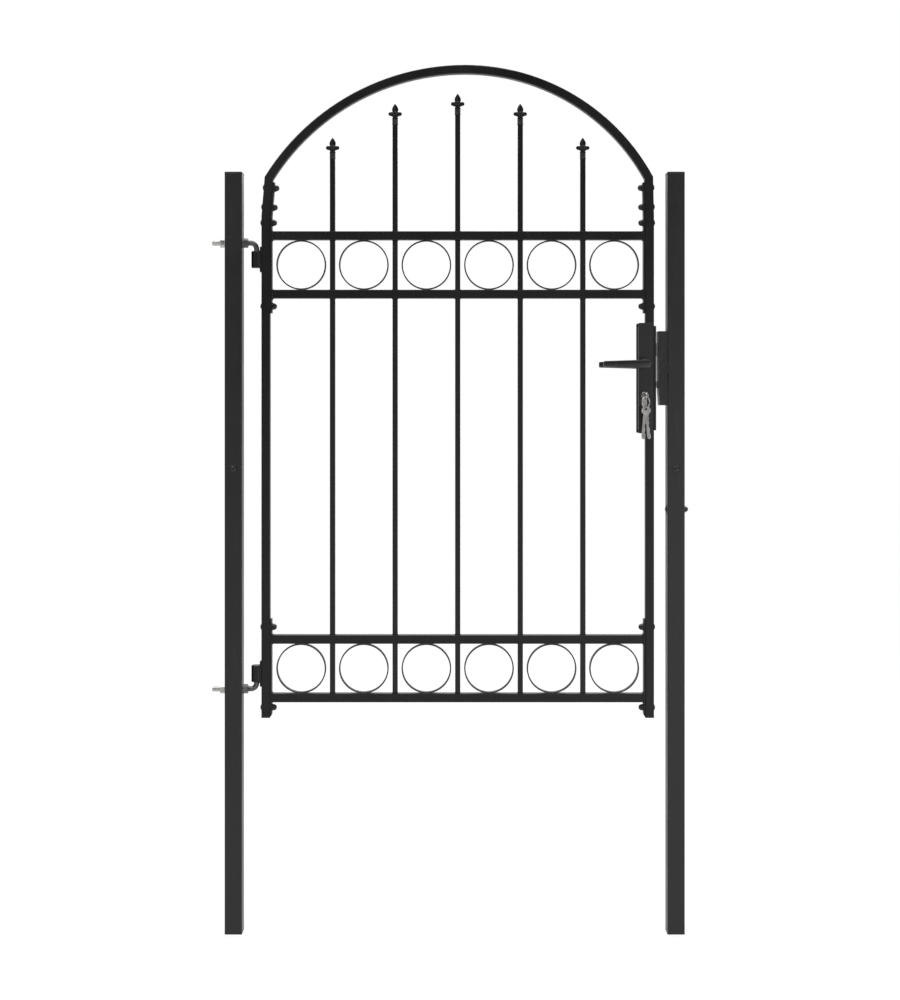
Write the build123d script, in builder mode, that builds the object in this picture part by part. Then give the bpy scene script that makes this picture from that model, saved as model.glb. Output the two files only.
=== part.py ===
from build123d import *

import math
import os

os.makedirs("parts", exist_ok=True)

# Garden gate with one arched leaf of welded square tube, hung between two steel posts.
# All sizes are in millimetres. The origin is the centre of the hinge post's foot,
# X runs to the latch post, the front faces -Y and Z is up.

# Driving sizes: posts
post_width = 40.0
post_wall = 1.5
post_corner = 2.5
post_spacing = 1019.0
post_over_stile = 97.0
cap_height = 5.0
cap_edge = 1.0
cap_plug_depth = 15.0
cap_plug_clearance = 0.15

# Driving sizes: leaf frame
leaf_foot = 500.0
stile_height = 1153.0
pin_from_post = 31.5
stile_from_pin = 12.0
frame_to_latch_post = 29.5
tube_width = 20.0
tube_wall = 1.5
tube_corner = 2.2

# Driving sizes: arch, on two straight legs that lean in from the stiles
leg_height = 92.0
arch_rise = 258.0
arch_crown_shift = 17.5
arch_inset_hinge = 7.5
arch_inset_latch = 2.0

# Driving sizes: side strips that carry the two ring panels
strip_upper_thickness = 4.5
strip_under_kink = 13.5
strip_under_panel = 44.0
strip_lower_thickness = 4.0
strip_over_panel = 47.0
strip_round = 4.0

# Driving sizes: rails, bars and rings
rail_width = 20.0
rail_wall = 1.5
rail_corner = 1.5
panel_under_stile_top = 111.5
panel_over_foot = 109.5
ring_diameter = 114.8
ring_thickness = 3.0
ring_depth = 12.0
ring_clearance = 0.1
ring_to_strip = 9.6
bar_width = 12.0
bar_corner = 0.8
bar_count = 5
bar_hole_clearance = 0.2
spear_under_crown = 65.5
spear_arc_radius = 462.5

# Driving sizes: cast spearhead
spear_height = 49.0
collar_height = 17.0
collar_ring_radius = 6.8
collar_ring_height = 4.5
collar_neck_radius = 5.4
collar_slope = 1.0
cup_radius = 8.2
cup_height = 7.0
neck_height = 32.0
neck_width = 12.4
neck_depth = 6.6
blade_widest_height = 35.4
blade_width = 15.2
blade_depth = 7.6
blade_upper_height = 42.0
blade_upper_width = 11.4
blade_upper_depth = 6.2
blade_tip_width = 1.6
petal_count = 4
petal_reach = 15.6
petal_knob_radius = 4.3
petal_knob_height = 26.8
petal_slope = 1.4
petal_depth = 7.0
petal_edge = 1.2

# Driving sizes: hook hinges
rod_radius = 6.0
rod_tail = 30.5
rod_bend_radius = 13.0
rod_hole_clearance = 0.3
eye_radius = 12.0
eye_height = 38.6
eye_bore_clearance = 0.08
eye_rim_edge = 1.5
eye_under_stile_top = 99.0
eye_over_foot = 97.5
pin_gap_top = 19.0
pin_gap_bottom = 16.3
flange_height = 58.0
flange_width = 20.0
flange_thickness = 3.5
flange_round = 5.5
nut_across_flats = 19.0
nut_height = 10.0
washer_radius = 11.5
washer_thickness = 2.0

# Driving sizes: coach bolts with dome nuts
bolt_radius = 4.0
bolt_hole_clearance = 0.3
bolt_head_radius = 8.0
bolt_head_height = 3.5
dome_across_flats = 13.0
dome_hex_height = 4.3
dome_height = 10.3
dome_step = 0.3
leg_bolt_drops = (11.0, 55.5)
stile_bolt_drop = 14.0
panel_bolt_reach = 28.0
foot_bolt_rise = 19.0
post_bolt_height = 1071.0
post_side_bolt_height = 977.0

# Driving sizes: lock
lock_proud = 3.5
lock_under_strip = 30.0
lock_case_width = 38.6
lock_case_depth = 40.0
lock_case_height = 240.0
lock_case_corner = 1.0
lock_plate_inset = 6.2
lock_plate_width = 35.0
lock_plate_height = 254.0
lock_plate_thickness = 3.0
lock_plate_corner = 3.0
lock_plate_edge = 0.8
forend_width = 20.0
forend_height = 220.0
forend_thickness = 3.0
forend_clearance = 0.1
spindle_inset = 26.5
follower_height = 32.0
spindle_width = 8.0
spindle_bore_radius = 6.5
cylinder_drop = 40.0
cylinder_radius = 8.5
cylinder_tail_width = 10.0
cylinder_tail_height = 33.0
cylinder_proud = 3.0
cylinder_edge = 0.5
cylinder_clearance = 0.15
keyway_width = 2.4
keyway_height = 9.0
keyway_depth = 22.0

# Driving sizes: levers
lever_reach = 63.0
lever_length = 98.0
lever_hub_radius = 12.0
lever_hub_depth = 17.0
lever_tip_height = 13.6
lever_tip_depth = 10.0
lever_tip_round = 3.0
lever_edge = 2.4
lever_neck_radius = 8.5
lever_rose_radius = 12.8
lever_rose_depth = 5.0
lever_rose_taper = 15.0
lever_plate_gap = 0.3

# Driving sizes: bolts of the lock
latch_height = 30.0
latch_depth = 12.0
latch_length = 31.0
latch_rise = 65.0
latch_nose = 13.5
latch_bevel_length = 9.0
latch_bevel_depth = 8.0
latch_spring_room = 1.0
bolt_pocket_clearance = 0.3
latch_throw = 12.5
dead_bolt_height = 14.0
dead_bolt_depth = 12.0
dead_bolt_length = 30.0
dead_bolt_rise = -15.0
dead_bolt_nose = 4.5

# Driving sizes: keeper
keeper_gap = 5.5
keeper_height = 170.6
keeper_depth = 40.0
keeper_rise = 22.7
keeper_wall = 3.0
keeper_slot_clearance = 2.0
keeper_slant_width = 3.2
keeper_slant_height = 50.0

# Driving sizes: keys
key_bow_radius = 9.5
key_thickness = 2.2
key_blade_width = 8.6
key_blade_length = 21.0
key_bow_gap = 5.0
key_hole_radius = 4.0
key_hole_edge = 3.5
key_ring_radius = 12.0
key_ring_wire = 0.8
key_ring_turn = 45.0
key_ring_seat = 0.95
spare_key_length = 62.0
spare_key_turn = 90.0
spare_key_spread = 8.2
spare_key_swing = 6.0
spare_key_lean = 3.0

# Heights of the leaf's parts
stile_top = leaf_foot + stile_height
arch_kink = stile_top + leg_height
arch_top = arch_kink + arch_rise
post_height = stile_top + post_over_stile

# Leaf across, from the hinge post to the latch post
hinge_x = post_width / 2 + pin_from_post
leaf_left = hinge_x + stile_from_pin
post_face_latch = post_spacing - post_width / 2
leaf_right = post_face_latch - frame_to_latch_post
leaf_centre = (leaf_left + leaf_right) / 2
stile_hinge_x = leaf_left + tube_width / 2
stile_latch_x = leaf_right - tube_width / 2

# Arch: two arcs, each from a kink up to the crown, which stands nearer to the latch side
crown_x = leaf_centre + arch_crown_shift
crown_span_hinge = crown_x - (leaf_left + arch_inset_hinge)
crown_span_latch = (leaf_right - arch_inset_latch) - crown_x
arch_radius_hinge = (crown_span_hinge**2 + arch_rise**2) / (2 * arch_rise)
arch_radius_latch = (crown_span_latch**2 + arch_rise**2) / (2 * arch_rise)
lean_hinge = math.atan2(arch_inset_hinge, leg_height)
lean_latch = math.atan2(arch_inset_latch, leg_height)

# Ring panels and the bars between the rings
upper_panel_centre = stile_top - panel_under_stile_top
lower_panel_centre = leaf_foot + panel_over_foot
rail_offset = ring_diameter / 2 + ring_clearance + rail_width / 2
rail_heights = {
    "rail_upper_top": upper_panel_centre + rail_offset,
    "rail_upper_bottom": upper_panel_centre - rail_offset,
    "rail_lower_top": lower_panel_centre + rail_offset,
    "rail_lower_bottom": lower_panel_centre - rail_offset,
}
ring_count = bar_count + 1
panel_width = leaf_right - leaf_left - 2 * tube_width - 2 * strip_upper_thickness
outer_ring_reach = panel_width / 2 - ring_to_strip - ring_diameter / 2
bar_spacing = 2 * outer_ring_reach / (ring_count - 1)
bar_places = [leaf_centre + (i - (bar_count - 1) / 2) * bar_spacing for i in range(bar_count)]
ring_places = [leaf_centre + (i - (ring_count - 1) / 2) * bar_spacing for i in range(ring_count)]
bar_foot = rail_heights["rail_lower_bottom"] - rail_width / 2 + rail_wall
spear_arc_top = arch_top - spear_under_crown

# Side strips and the bolts through them
strip_upper_top = arch_kink - strip_under_kink
strip_upper_foot = rail_heights["rail_upper_bottom"] - strip_under_panel
strip_lower_top = rail_heights["rail_lower_top"] + strip_over_panel
bolt_heights_leg = [strip_upper_top - drop for drop in leg_bolt_drops]
bolt_heights_stile = (
    stile_top - stile_bolt_drop,
    rail_heights["rail_upper_bottom"] - panel_bolt_reach,
)
bolt_heights_foot = (
    rail_heights["rail_lower_top"] + panel_bolt_reach,
    leaf_foot + foot_bolt_rise,
)

# Hook hinges
eye_top_centre = stile_top - eye_under_stile_top
eye_bottom_centre = leaf_foot + eye_over_foot
rod_height_top = eye_top_centre + eye_height / 2 + pin_gap_top
rod_height_bottom = eye_bottom_centre - eye_height / 2 - pin_gap_bottom

# Lock and keeper
case_right = leaf_right + lock_proud
case_left = case_right - lock_case_width
case_top = strip_upper_foot - lock_under_strip
case_foot = case_top - lock_case_height
lock_centre = (case_foot + case_top) / 2
keeper_face = case_right + keeper_gap
keeper_centre = lock_centre + keeper_rise
plate_centre_x = case_right - lock_plate_inset - lock_plate_width / 2
plate_face = lock_case_depth / 2 + lock_plate_thickness
spindle_x = case_right - spindle_inset
spindle_z = lock_centre + follower_height
cylinder_z = lock_centre - cylinder_drop
latch_z = lock_centre + latch_rise
dead_bolt_z = lock_centre + dead_bolt_rise


def save(builder, name):
    """Labels a finished piece and writes it to its own file."""
    builder.part.label = name
    export_step(builder.part, f"parts/{name}.step")


def tube_section(width, wall, corner):
    """Draws a square tube's cut end in the current sketch."""
    RectangleRounded(width, width, corner)
    Rectangle(width - 2 * wall, width - 2 * wall, mode=Mode.SUBTRACT)


def hole_across(x, y, z, radius, axis):
    """Drills a round hole through the current part along X or Y."""
    turn = (0, 90, 0) if axis == "X" else (90, 0, 0)
    with Locations((x, y, z)):
        Cylinder(radius, 2 * post_width, rotation=turn, mode=Mode.SUBTRACT)


def cap_middle(rim_radius, rise):
    """Gives the halfway point of a round cap's profile, as radius and height over its rim."""
    sphere = (rim_radius**2 + rise**2) / (2 * rise)
    half_turn = math.acos((sphere - rise) / sphere) / 2
    return (sphere * math.sin(half_turn), rise - sphere * (1 - math.cos(half_turn)))


# Coach bolt: low round head, shank and dome nut, standing on the outer face at z = 0
def coach_bolt(grip):
    """Makes one bolt through a thickness of grip, its head below z = 0 and its nut above."""
    dome_foot = grip + dome_hex_height
    dome_rise = dome_height - dome_hex_height
    dome_radius = dome_across_flats / 2 - dome_step
    head_x, head_z = cap_middle(bolt_head_radius, bolt_head_height)
    dome_x, dome_z = cap_middle(dome_radius, dome_rise)
    with BuildPart() as bolt:
        with BuildSketch(Plane.XZ):
            with BuildLine():
                ThreePointArc((0, -bolt_head_height), (head_x, -head_z), (bolt_head_radius, 0))
                Polyline(
                    (bolt_head_radius, 0),
                    (bolt_radius, 0),
                    (bolt_radius, dome_foot),
                    (dome_radius, dome_foot),
                )
                ThreePointArc(
                    (dome_radius, dome_foot),
                    (dome_x, dome_foot + dome_z),
                    (0, dome_foot + dome_rise),
                )
                Line((0, dome_foot + dome_rise), (0, -bolt_head_height))
            make_face()
        revolve(axis=Axis.Z)
        with BuildSketch(Plane.XY.offset(grip)):
            RegularPolygon(dome_across_flats / 2, 6, major_radius=False)
        extrude(amount=dome_hex_height)
    return bolt.part


# Posts
for post_name, post_x in (("post_hinge", 0.0), ("post_latch", post_spacing)):
    with BuildPart() as post:
        with BuildSketch(Plane.XY):
            with Locations((post_x, 0)):
                tube_section(post_width, post_wall, post_corner)
        extrude(amount=post_height)
        hole_across(post_x, 0, post_bolt_height, bolt_radius + bolt_hole_clearance, "Y")
        if post_name == "post_hinge":
            for rod_height in (rod_height_top, rod_height_bottom):
                hole_across(post_x, 0, rod_height, rod_radius + rod_hole_clearance, "X")
        else:
            hole_across(
                post_x, 0, post_side_bolt_height, bolt_radius + bolt_hole_clearance, "X"
            )
    save(post, post_name)

# Post caps: a flat top with a plug that slides into the tube
for cap_name, cap_x in (("cap_hinge_post", 0.0), ("cap_latch_post", post_spacing)):
    with BuildPart() as cap:
        with BuildSketch(Plane.XY.offset(post_height)):
            with Locations((cap_x, 0)):
                RectangleRounded(post_width, post_width, post_corner)
        extrude(amount=cap_height)
        chamfer(cap.faces().sort_by(Axis.Z)[-1].edges(), cap_edge)
        with BuildSketch(Plane.XY.offset(post_height)):
            with Locations((cap_x, 0)):
                plug_width = post_width - 2 * post_wall - 2 * cap_plug_clearance
                Rectangle(plug_width, plug_width)
        extrude(amount=-cap_plug_depth)
    save(cap, cap_name)

# Post bolts: one through the front of each post, one through the latch post's side
post_bolt = coach_bolt(post_width)
with BuildPart() as post_bolts:
    for post_x in (0.0, post_spacing):
        seat = Plane(origin=(post_x, -post_width / 2, post_bolt_height), z_dir=(0, 1, 0))
        with Locations(seat.location):
            add(post_bolt)
    side_seat = Plane(
        origin=(post_face_latch, 0, post_side_bolt_height), z_dir=(1, 0, 0)
    )
    with Locations(side_seat.location):
        add(post_bolt)
save(post_bolts, "post_bolts")


# Hook hinges: a threaded rod through the post, bent into the pin that the leaf turns on
def hook_path(rod_height, pin_end):
    """Draws the rod's centre line from its tail to the end of its pin."""
    side = math.copysign(1, pin_end - rod_height)
    bend_start = (hinge_x - rod_bend_radius, 0, rod_height)
    bend_end = (hinge_x, 0, rod_height + side * rod_bend_radius)
    chord = rod_bend_radius * (1 - math.sqrt(0.5))
    bend_middle = (hinge_x - chord, 0, rod_height + side * chord)
    Line((-post_width / 2 - rod_tail, 0, rod_height), bend_start)
    ThreePointArc(bend_start, bend_middle, bend_end)
    Line(bend_end, (hinge_x, 0, pin_end))


hinges = (
    ("top", rod_height_top, eye_top_centre, -1),
    ("bottom", rod_height_bottom, eye_bottom_centre, 1),
)
for hinge_name, rod_height, eye_centre, pin_side in hinges:
    with BuildPart() as hook:
        with BuildLine():
            hook_path(rod_height, eye_centre + pin_side * eye_height / 2)
        with BuildSketch(
            Plane(origin=(-post_width / 2 - rod_tail, 0, rod_height), z_dir=(1, 0, 0))
        ):
            Circle(rod_radius)
        sweep()
    save(hook, f"hinge_hook_{hinge_name}")

    with BuildPart() as nuts:
        for side in (-1, 1):
            face = Plane(origin=(side * post_width / 2, 0, rod_height), z_dir=(side, 0, 0))
            with BuildSketch(face):
                Circle(washer_radius)
            extrude(amount=washer_thickness)
            with BuildSketch(face.offset(washer_thickness)):
                RegularPolygon(nut_across_flats / 2, 6, major_radius=False)
            extrude(amount=nut_height)
        hole_across(0, 0, rod_height, rod_radius + eye_bore_clearance, "X")
    save(nuts, f"hinge_nuts_{hinge_name}")

    with BuildPart() as eye:
        with Locations((hinge_x, 0, eye_centre)):
            Cylinder(eye_radius, eye_height)
        chamfer(eye.edges().filter_by(GeomType.CIRCLE), eye_rim_edge)
        web_half_height = eye_height / 2 - eye_rim_edge
        flange_x = leaf_left - flange_thickness
        with BuildSketch(Plane.XZ) as web:
            with Locations((leaf_left - flange_thickness / 2, eye_centre)):
                Rectangle(flange_thickness, flange_height)
            with Locations(((hinge_x + flange_x) / 2, eye_centre)):
                Rectangle(flange_x - hinge_x, 2 * web_half_height)
            flange_points = web.vertices().filter_by_position(Axis.X, flange_x, flange_x)
            fillet(flange_points.sort_by(Axis.Y)[1:3], flange_round)
        extrude(amount=flange_width / 2, both=True)
        with Locations((hinge_x, 0, eye_centre)):
            Cylinder(rod_radius + eye_bore_clearance, flange_height, mode=Mode.SUBTRACT)
    save(eye, f"hinge_eye_{hinge_name}")


# Leaf frame
def stile_tube(x, foot, top):
    """Extrudes one upright tube of the leaf."""
    with BuildSketch(Plane.XY.offset(foot)) as section:
        with Locations((x, 0)):
            tube_section(tube_width, tube_wall, tube_corner)
    extrude(section.sketch, amount=top - foot)


drill = bolt_radius + bolt_hole_clearance
with BuildPart() as stile_hinge:
    stile_tube(stile_hinge_x, leaf_foot, stile_top)
    for bolt_z in bolt_heights_stile + bolt_heights_foot:
        hole_across(stile_hinge_x, 0, bolt_z, drill, "X")
save(stile_hinge, "stile_hinge")

with BuildPart() as stile_latch_upper:
    stile_tube(stile_latch_x, case_top, stile_top)
    for bolt_z in bolt_heights_stile:
        hole_across(stile_latch_x, 0, bolt_z, drill, "X")
save(stile_latch_upper, "stile_latch_upper")

with BuildPart() as stile_latch_lower:
    stile_tube(stile_latch_x, leaf_foot, case_foot)
    for bolt_z in bolt_heights_foot:
        hole_across(stile_latch_x, 0, bolt_z, drill, "X")
save(stile_latch_lower, "stile_latch_lower")


# Arch: bent tube whose two legs lean a little inwards from the stiles
def leg_kink(foot_x, lean, radius, arc_foot):
    """Gives the point where a leg's edge, leaning from foot_x, meets its arc, centred at arc_foot."""
    start = Vector(foot_x - crown_x, stile_top - arc_foot)
    along = Vector(math.sin(lean), math.cos(lean))
    reach = start.dot(along)
    rise = math.sqrt(reach**2 - start.dot(start) + radius**2) - reach
    return (foot_x + rise * math.sin(lean), stile_top + rise * math.cos(lean))


def half_arc(kink, radius, arc_foot):
    """Draws one arc of an arch edge, from its kink to the crown."""
    middle_x = (kink[0] + crown_x) / 2
    middle_z = arc_foot + math.sqrt(radius**2 - (middle_x - crown_x) ** 2)
    ThreePointArc(kink, (middle_x, middle_z), (crown_x, arc_foot + radius))


def arch_band(inset):
    """Draws the arch's front view with every edge moved inwards by inset."""
    hinge_foot = arch_top - arch_radius_hinge
    latch_foot = arch_top - arch_radius_latch
    outer_hinge = arch_radius_hinge - inset
    outer_latch = arch_radius_latch - inset
    inner_hinge = arch_radius_hinge - tube_width + inset
    inner_latch = arch_radius_latch - tube_width + inset
    outer_feet = (leaf_left + inset, leaf_right - inset)
    inner_feet = (leaf_left + tube_width - inset, leaf_right - tube_width + inset)
    outer_left = leg_kink(outer_feet[0], lean_hinge, outer_hinge, hinge_foot)
    outer_right = leg_kink(outer_feet[1], -lean_latch, outer_latch, latch_foot)
    inner_left = leg_kink(inner_feet[0], lean_hinge, inner_hinge, hinge_foot)
    inner_right = leg_kink(inner_feet[1], -lean_latch, inner_latch, latch_foot)
    with BuildLine() as outline:
        Polyline(inner_left, (inner_feet[0], stile_top), (outer_feet[0], stile_top), outer_left)
        half_arc(outer_left, outer_hinge, hinge_foot)
        half_arc(outer_right, outer_latch, latch_foot)
        Polyline(
            outer_right, (outer_feet[1], stile_top), (inner_feet[1], stile_top), inner_right
        )
        half_arc(inner_right, inner_latch, latch_foot)
        half_arc(inner_left, inner_hinge, hinge_foot)
    make_face(outline.edges())


def leg_seat(side, height):
    """Gives the plane on an arch leg's outer face at a height, facing into the leaf."""
    lean = lean_hinge if side == "hinge" else lean_latch
    reach = (height - stile_top) * math.tan(lean)
    if side == "hinge":
        return Plane(
            origin=(leaf_left + reach, 0, height), z_dir=(math.cos(lean), 0, -math.sin(lean))
        )
    return Plane(
        origin=(leaf_right - reach, 0, height), z_dir=(-math.cos(lean), 0, -math.sin(lean))
    )


with BuildPart() as arch:
    with BuildSketch(Plane.XZ):
        arch_band(0)
    extrude(amount=tube_width / 2, both=True)
    faces_across = arch.faces().filter_by(Axis.Y)
    foot_edges = arch.faces().filter_by(Axis.Z).edges()
    fillet([edge for edge in faces_across.edges() if edge not in foot_edges], tube_corner)
    with BuildSketch(Plane.XZ):
        arch_band(tube_wall)
    extrude(amount=tube_width / 2 - tube_wall, both=True, mode=Mode.SUBTRACT)
    for leg_side in ("hinge", "latch"):
        for bolt_z in bolt_heights_leg:
            with Locations(leg_seat(leg_side, bolt_z).location):
                Cylinder(drill, 3 * tube_width, mode=Mode.SUBTRACT)
save(arch, "arch")

# Side strips: flat bars inside the stiles, the upper ones bent to follow the arch's legs
for side, stile_face, inward, lean in (
    ("hinge", leaf_left + tube_width, 1, lean_hinge),
    ("latch", leaf_right - tube_width, -1, lean_latch),
):
    with BuildPart() as strip_upper:
        leaning = inward * (strip_upper_top - stile_top) * math.tan(lean)
        thick = inward * strip_upper_thickness
        with BuildSketch(Plane.XZ):
            Polygon(
                (stile_face, strip_upper_foot),
                (stile_face + thick, strip_upper_foot),
                (stile_face + thick, stile_top),
                (stile_face + thick + leaning, strip_upper_top),
                (stile_face + leaning, strip_upper_top),
                (stile_face, stile_top),
                align=None,
            )
        extrude(amount=tube_width / 2, both=True)
        for bolt_z in bolt_heights_stile:
            hole_across(stile_face, 0, bolt_z, drill, "X")
        for bolt_z in bolt_heights_leg:
            with Locations(leg_seat(side, bolt_z).location):
                Cylinder(drill, 3 * tube_width, mode=Mode.SUBTRACT)
    save(strip_upper, f"strip_upper_{side}")

    with BuildPart() as strip_lower:
        thick = inward * strip_lower_thickness
        with BuildSketch(Plane.XZ):
            Polygon(
                (stile_face, leaf_foot),
                (stile_face + thick, leaf_foot),
                (stile_face + thick, strip_lower_top),
                (stile_face, strip_lower_top),
                align=None,
            )
            inner_corner = vertices().sort_by(Axis.X, reverse=inward > 0)[0:2].sort_by(Axis.Y)[0]
            fillet(inner_corner, strip_round)
        extrude(amount=tube_width / 2, both=True)
        for bolt_z in bolt_heights_foot:
            hole_across(stile_face, 0, bolt_z, drill, "X")
    save(strip_lower, f"strip_lower_{side}")

# Frame bolts, heads outside and dome nuts inside the leaf
upper_bolt = coach_bolt(tube_width + strip_upper_thickness)
lower_bolt = coach_bolt(tube_width + strip_lower_thickness)
for side, outer_face, inward, lean in (
    ("hinge", leaf_left, 1, lean_hinge),
    ("latch", leaf_right, -1, lean_latch),
):
    leg_bolt = coach_bolt((tube_width + strip_upper_thickness) * math.cos(lean))
    with BuildPart() as frame_bolts:
        for bolt_z in bolt_heights_leg:
            with Locations(leg_seat(side, bolt_z).location):
                add(leg_bolt)
        for bolt_z in bolt_heights_stile:
            seat = Plane(origin=(outer_face, 0, bolt_z), z_dir=(inward, 0, 0))
            with Locations(seat.location):
                add(upper_bolt)
        for bolt_z in bolt_heights_foot:
            seat = Plane(origin=(outer_face, 0, bolt_z), z_dir=(inward, 0, 0))
            with Locations(seat.location):
                add(lower_bolt)
    save(frame_bolts, f"frame_bolts_{side}")

# Rails: tubes between the side strips, pierced for the bars
for rail_name, rail_z in rail_heights.items():
    strip_thickness = strip_upper_thickness if "upper" in rail_name else strip_lower_thickness
    rail_start = leaf_left + tube_width + strip_thickness
    rail_length = leaf_right - leaf_left - 2 * tube_width - 2 * strip_thickness
    with BuildPart() as rail:
        with BuildSketch(Plane(origin=(rail_start, 0, rail_z), z_dir=(1, 0, 0))):
            tube_section(rail_width, rail_wall, rail_corner)
        extrude(amount=rail_length)
        for bar_x in bar_places:
            hole_foot = max(bar_foot, rail_z - rail_width)
            with BuildSketch(Plane.XY.offset(hole_foot)):
                with Locations((bar_x, 0)):
                    hole_width = bar_width + 2 * bar_hole_clearance
                    Rectangle(hole_width, hole_width)
            extrude(amount=rail_z + rail_width - hole_foot, mode=Mode.SUBTRACT)
    save(rail, rail_name)

# Bars, each from the lowest rail up to its spearhead, the tips on an arc inside the arch
bar_tops = []
for number, bar_x in enumerate(bar_places, start=1):
    tip_drop = spear_arc_radius - math.sqrt(spear_arc_radius**2 - (bar_x - leaf_centre) ** 2)
    bar_tops.append(spear_arc_top - tip_drop - spear_height)
    with BuildPart() as bar:
        with BuildSketch(Plane.XY.offset(bar_foot)):
            with Locations((bar_x, 0)):
                RectangleRounded(bar_width, bar_width, bar_corner)
        extrude(amount=bar_tops[-1] - bar_foot)
    save(bar, f"bar_{number}")

# Rings: flat strip rolled to circles, in a row between each pair of rails
for row_name, row_z in (
    ("rings_upper", upper_panel_centre),
    ("rings_lower", lower_panel_centre),
):
    with BuildPart() as rings:
        with BuildSketch(Plane.XZ):
            for ring_x in ring_places:
                with Locations((ring_x, row_z)):
                    Circle(ring_diameter / 2)
                    Circle(ring_diameter / 2 - ring_thickness, mode=Mode.SUBTRACT)
        extrude(amount=ring_depth / 2, both=True)
    save(rings, row_name)

# Spearhead: two-ringed collar, cup, four petals and a ridged leaf blade
with BuildPart() as spear_core:
    with BuildSketch(Plane.XZ):
        with BuildLine():
            Polyline(
                (0, neck_height),
                (0, 0),
                (collar_ring_radius, 0),
                (collar_ring_radius, collar_ring_height),
                (collar_neck_radius, collar_ring_height + collar_slope),
                (collar_neck_radius, collar_height - collar_ring_height - collar_slope),
                (collar_ring_radius, collar_height - collar_ring_height),
                (collar_ring_radius, collar_height - collar_slope),
                (collar_neck_radius, collar_height),
                (cup_radius, collar_height + cup_height),
                (neck_depth / 2, neck_height),
                close=True,
            )
        make_face()
    revolve(axis=Axis.Z)
    for section_z, section_width, section_depth in (
        (petal_knob_height, neck_width, neck_depth),
        (neck_height, neck_width, neck_depth),
        (blade_widest_height, blade_width, blade_depth),
        (blade_upper_height, blade_upper_width, blade_upper_depth),
        (spear_height, blade_tip_width, blade_tip_width),
    ):
        with BuildSketch(Plane.XY.offset(section_z)):
            Polygon(
                (section_width / 2, 0),
                (0, section_depth / 2),
                (-section_width / 2, 0),
                (0, -section_depth / 2),
                align=None,
            )
    loft(ruled=True)

# Petal: flares out of the cup into a round knob, level along its top
knob_x = petal_reach - petal_knob_radius
petal_top = petal_knob_height + petal_knob_radius
knob_foot = (knob_x, petal_knob_height - petal_knob_radius)
with BuildPart() as petal:
    with BuildSketch(Plane.XZ):
        with BuildLine():
            Polyline(
                (knob_x, petal_top),
                (0, petal_top),
                (0, collar_height),
                (collar_neck_radius, collar_height),
            )
            TangentArc((collar_neck_radius, collar_height), knob_foot, tangent=(1, petal_slope))
            ThreePointArc(knob_foot, (petal_reach, petal_knob_height), (knob_x, petal_top))
        make_face()
    extrude(amount=petal_depth / 2, both=True)
    side_edges = petal.faces().filter_by(Axis.Y).edges()
    chamfer(side_edges.filter_by_position(Axis.X, collar_neck_radius, petal_reach), petal_edge)

with BuildPart() as spear_cast:
    add(spear_core.part)
    for turn in range(petal_count):
        with Locations(Location((0, 0, 0), (0, 0, turn * 360 / petal_count))):
            add(petal.part)

for number, (bar_x, bar_top) in enumerate(zip(bar_places, bar_tops), start=1):
    with BuildPart() as spear:
        with Locations((bar_x, 0, bar_top)):
            add(spear_cast.part)
    save(spear, f"spearhead_{number}")


# Lock
def block(x_range, y_range, z_range, mode=Mode.ADD):
    """Adds or cuts a rectangular block between the given corners."""
    with BuildSketch(Plane.XY.offset(z_range[0])) as footprint:
        with Locations(((x_range[0] + x_range[1]) / 2, (y_range[0] + y_range[1]) / 2)):
            Rectangle(x_range[1] - x_range[0], y_range[1] - y_range[0])
    extrude(footprint.sketch, amount=z_range[1] - z_range[0], mode=mode)


def centred(middle, size):
    """Gives the two ends of a size about its middle."""
    return (middle - size / 2, middle + size / 2)


def cylinder_outline(clearance):
    """Draws the pear-shaped end of the lock cylinder about the cylinder's axis."""
    with Locations((spindle_x, cylinder_z)):
        Circle(cylinder_radius + clearance)
    with Locations((spindle_x, cylinder_z - cylinder_tail_height / 2 + cylinder_radius / 2)):
        Rectangle(
            cylinder_tail_width + 2 * clearance,
            cylinder_tail_height - cylinder_radius + 2 * clearance,
        )


latch_back = case_right + latch_nose - latch_length
dead_bolt_back = case_right + dead_bolt_nose - dead_bolt_length
with BuildPart() as lock_case:
    block(
        (case_left, case_right),
        centred(0, lock_case_depth),
        (case_foot, case_top),
    )
    fillet(lock_case.edges().filter_by(Axis.Z), lock_case_corner)
    block(
        (case_right - forend_thickness, case_right),
        centred(0, forend_width + 2 * forend_clearance),
        centred(lock_centre, forend_height + 2 * forend_clearance),
        mode=Mode.SUBTRACT,
    )
    block(
        (latch_back - latch_throw - latch_spring_room, case_right),
        centred(0, latch_depth + 2 * bolt_pocket_clearance),
        centred(latch_z, latch_height + 2 * bolt_pocket_clearance),
        mode=Mode.SUBTRACT,
    )
    block(
        (dead_bolt_back, case_right),
        centred(0, dead_bolt_depth + 2 * bolt_pocket_clearance),
        centred(dead_bolt_z, dead_bolt_height + 2 * bolt_pocket_clearance),
        mode=Mode.SUBTRACT,
    )
    hole_across(spindle_x, 0, spindle_z, spindle_bore_radius, "Y")
    with BuildSketch(Plane.XZ):
        cylinder_outline(cylinder_clearance)
    extrude(amount=lock_case_depth, both=True, mode=Mode.SUBTRACT)
save(lock_case, "lock_case")

with BuildPart() as forend:
    block(
        (case_right - forend_thickness, case_right),
        centred(0, forend_width),
        centred(lock_centre, forend_height),
    )
    for bolt_z, bolt_height, bolt_depth in (
        (latch_z, latch_height, latch_depth),
        (dead_bolt_z, dead_bolt_height, dead_bolt_depth),
    ):
        block(
            (case_right - 2 * forend_thickness, case_right + forend_thickness),
            centred(0, bolt_depth + 2 * bolt_pocket_clearance),
            centred(bolt_z, bolt_height + 2 * bolt_pocket_clearance),
            mode=Mode.SUBTRACT,
        )
save(forend, "lock_forend")


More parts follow.
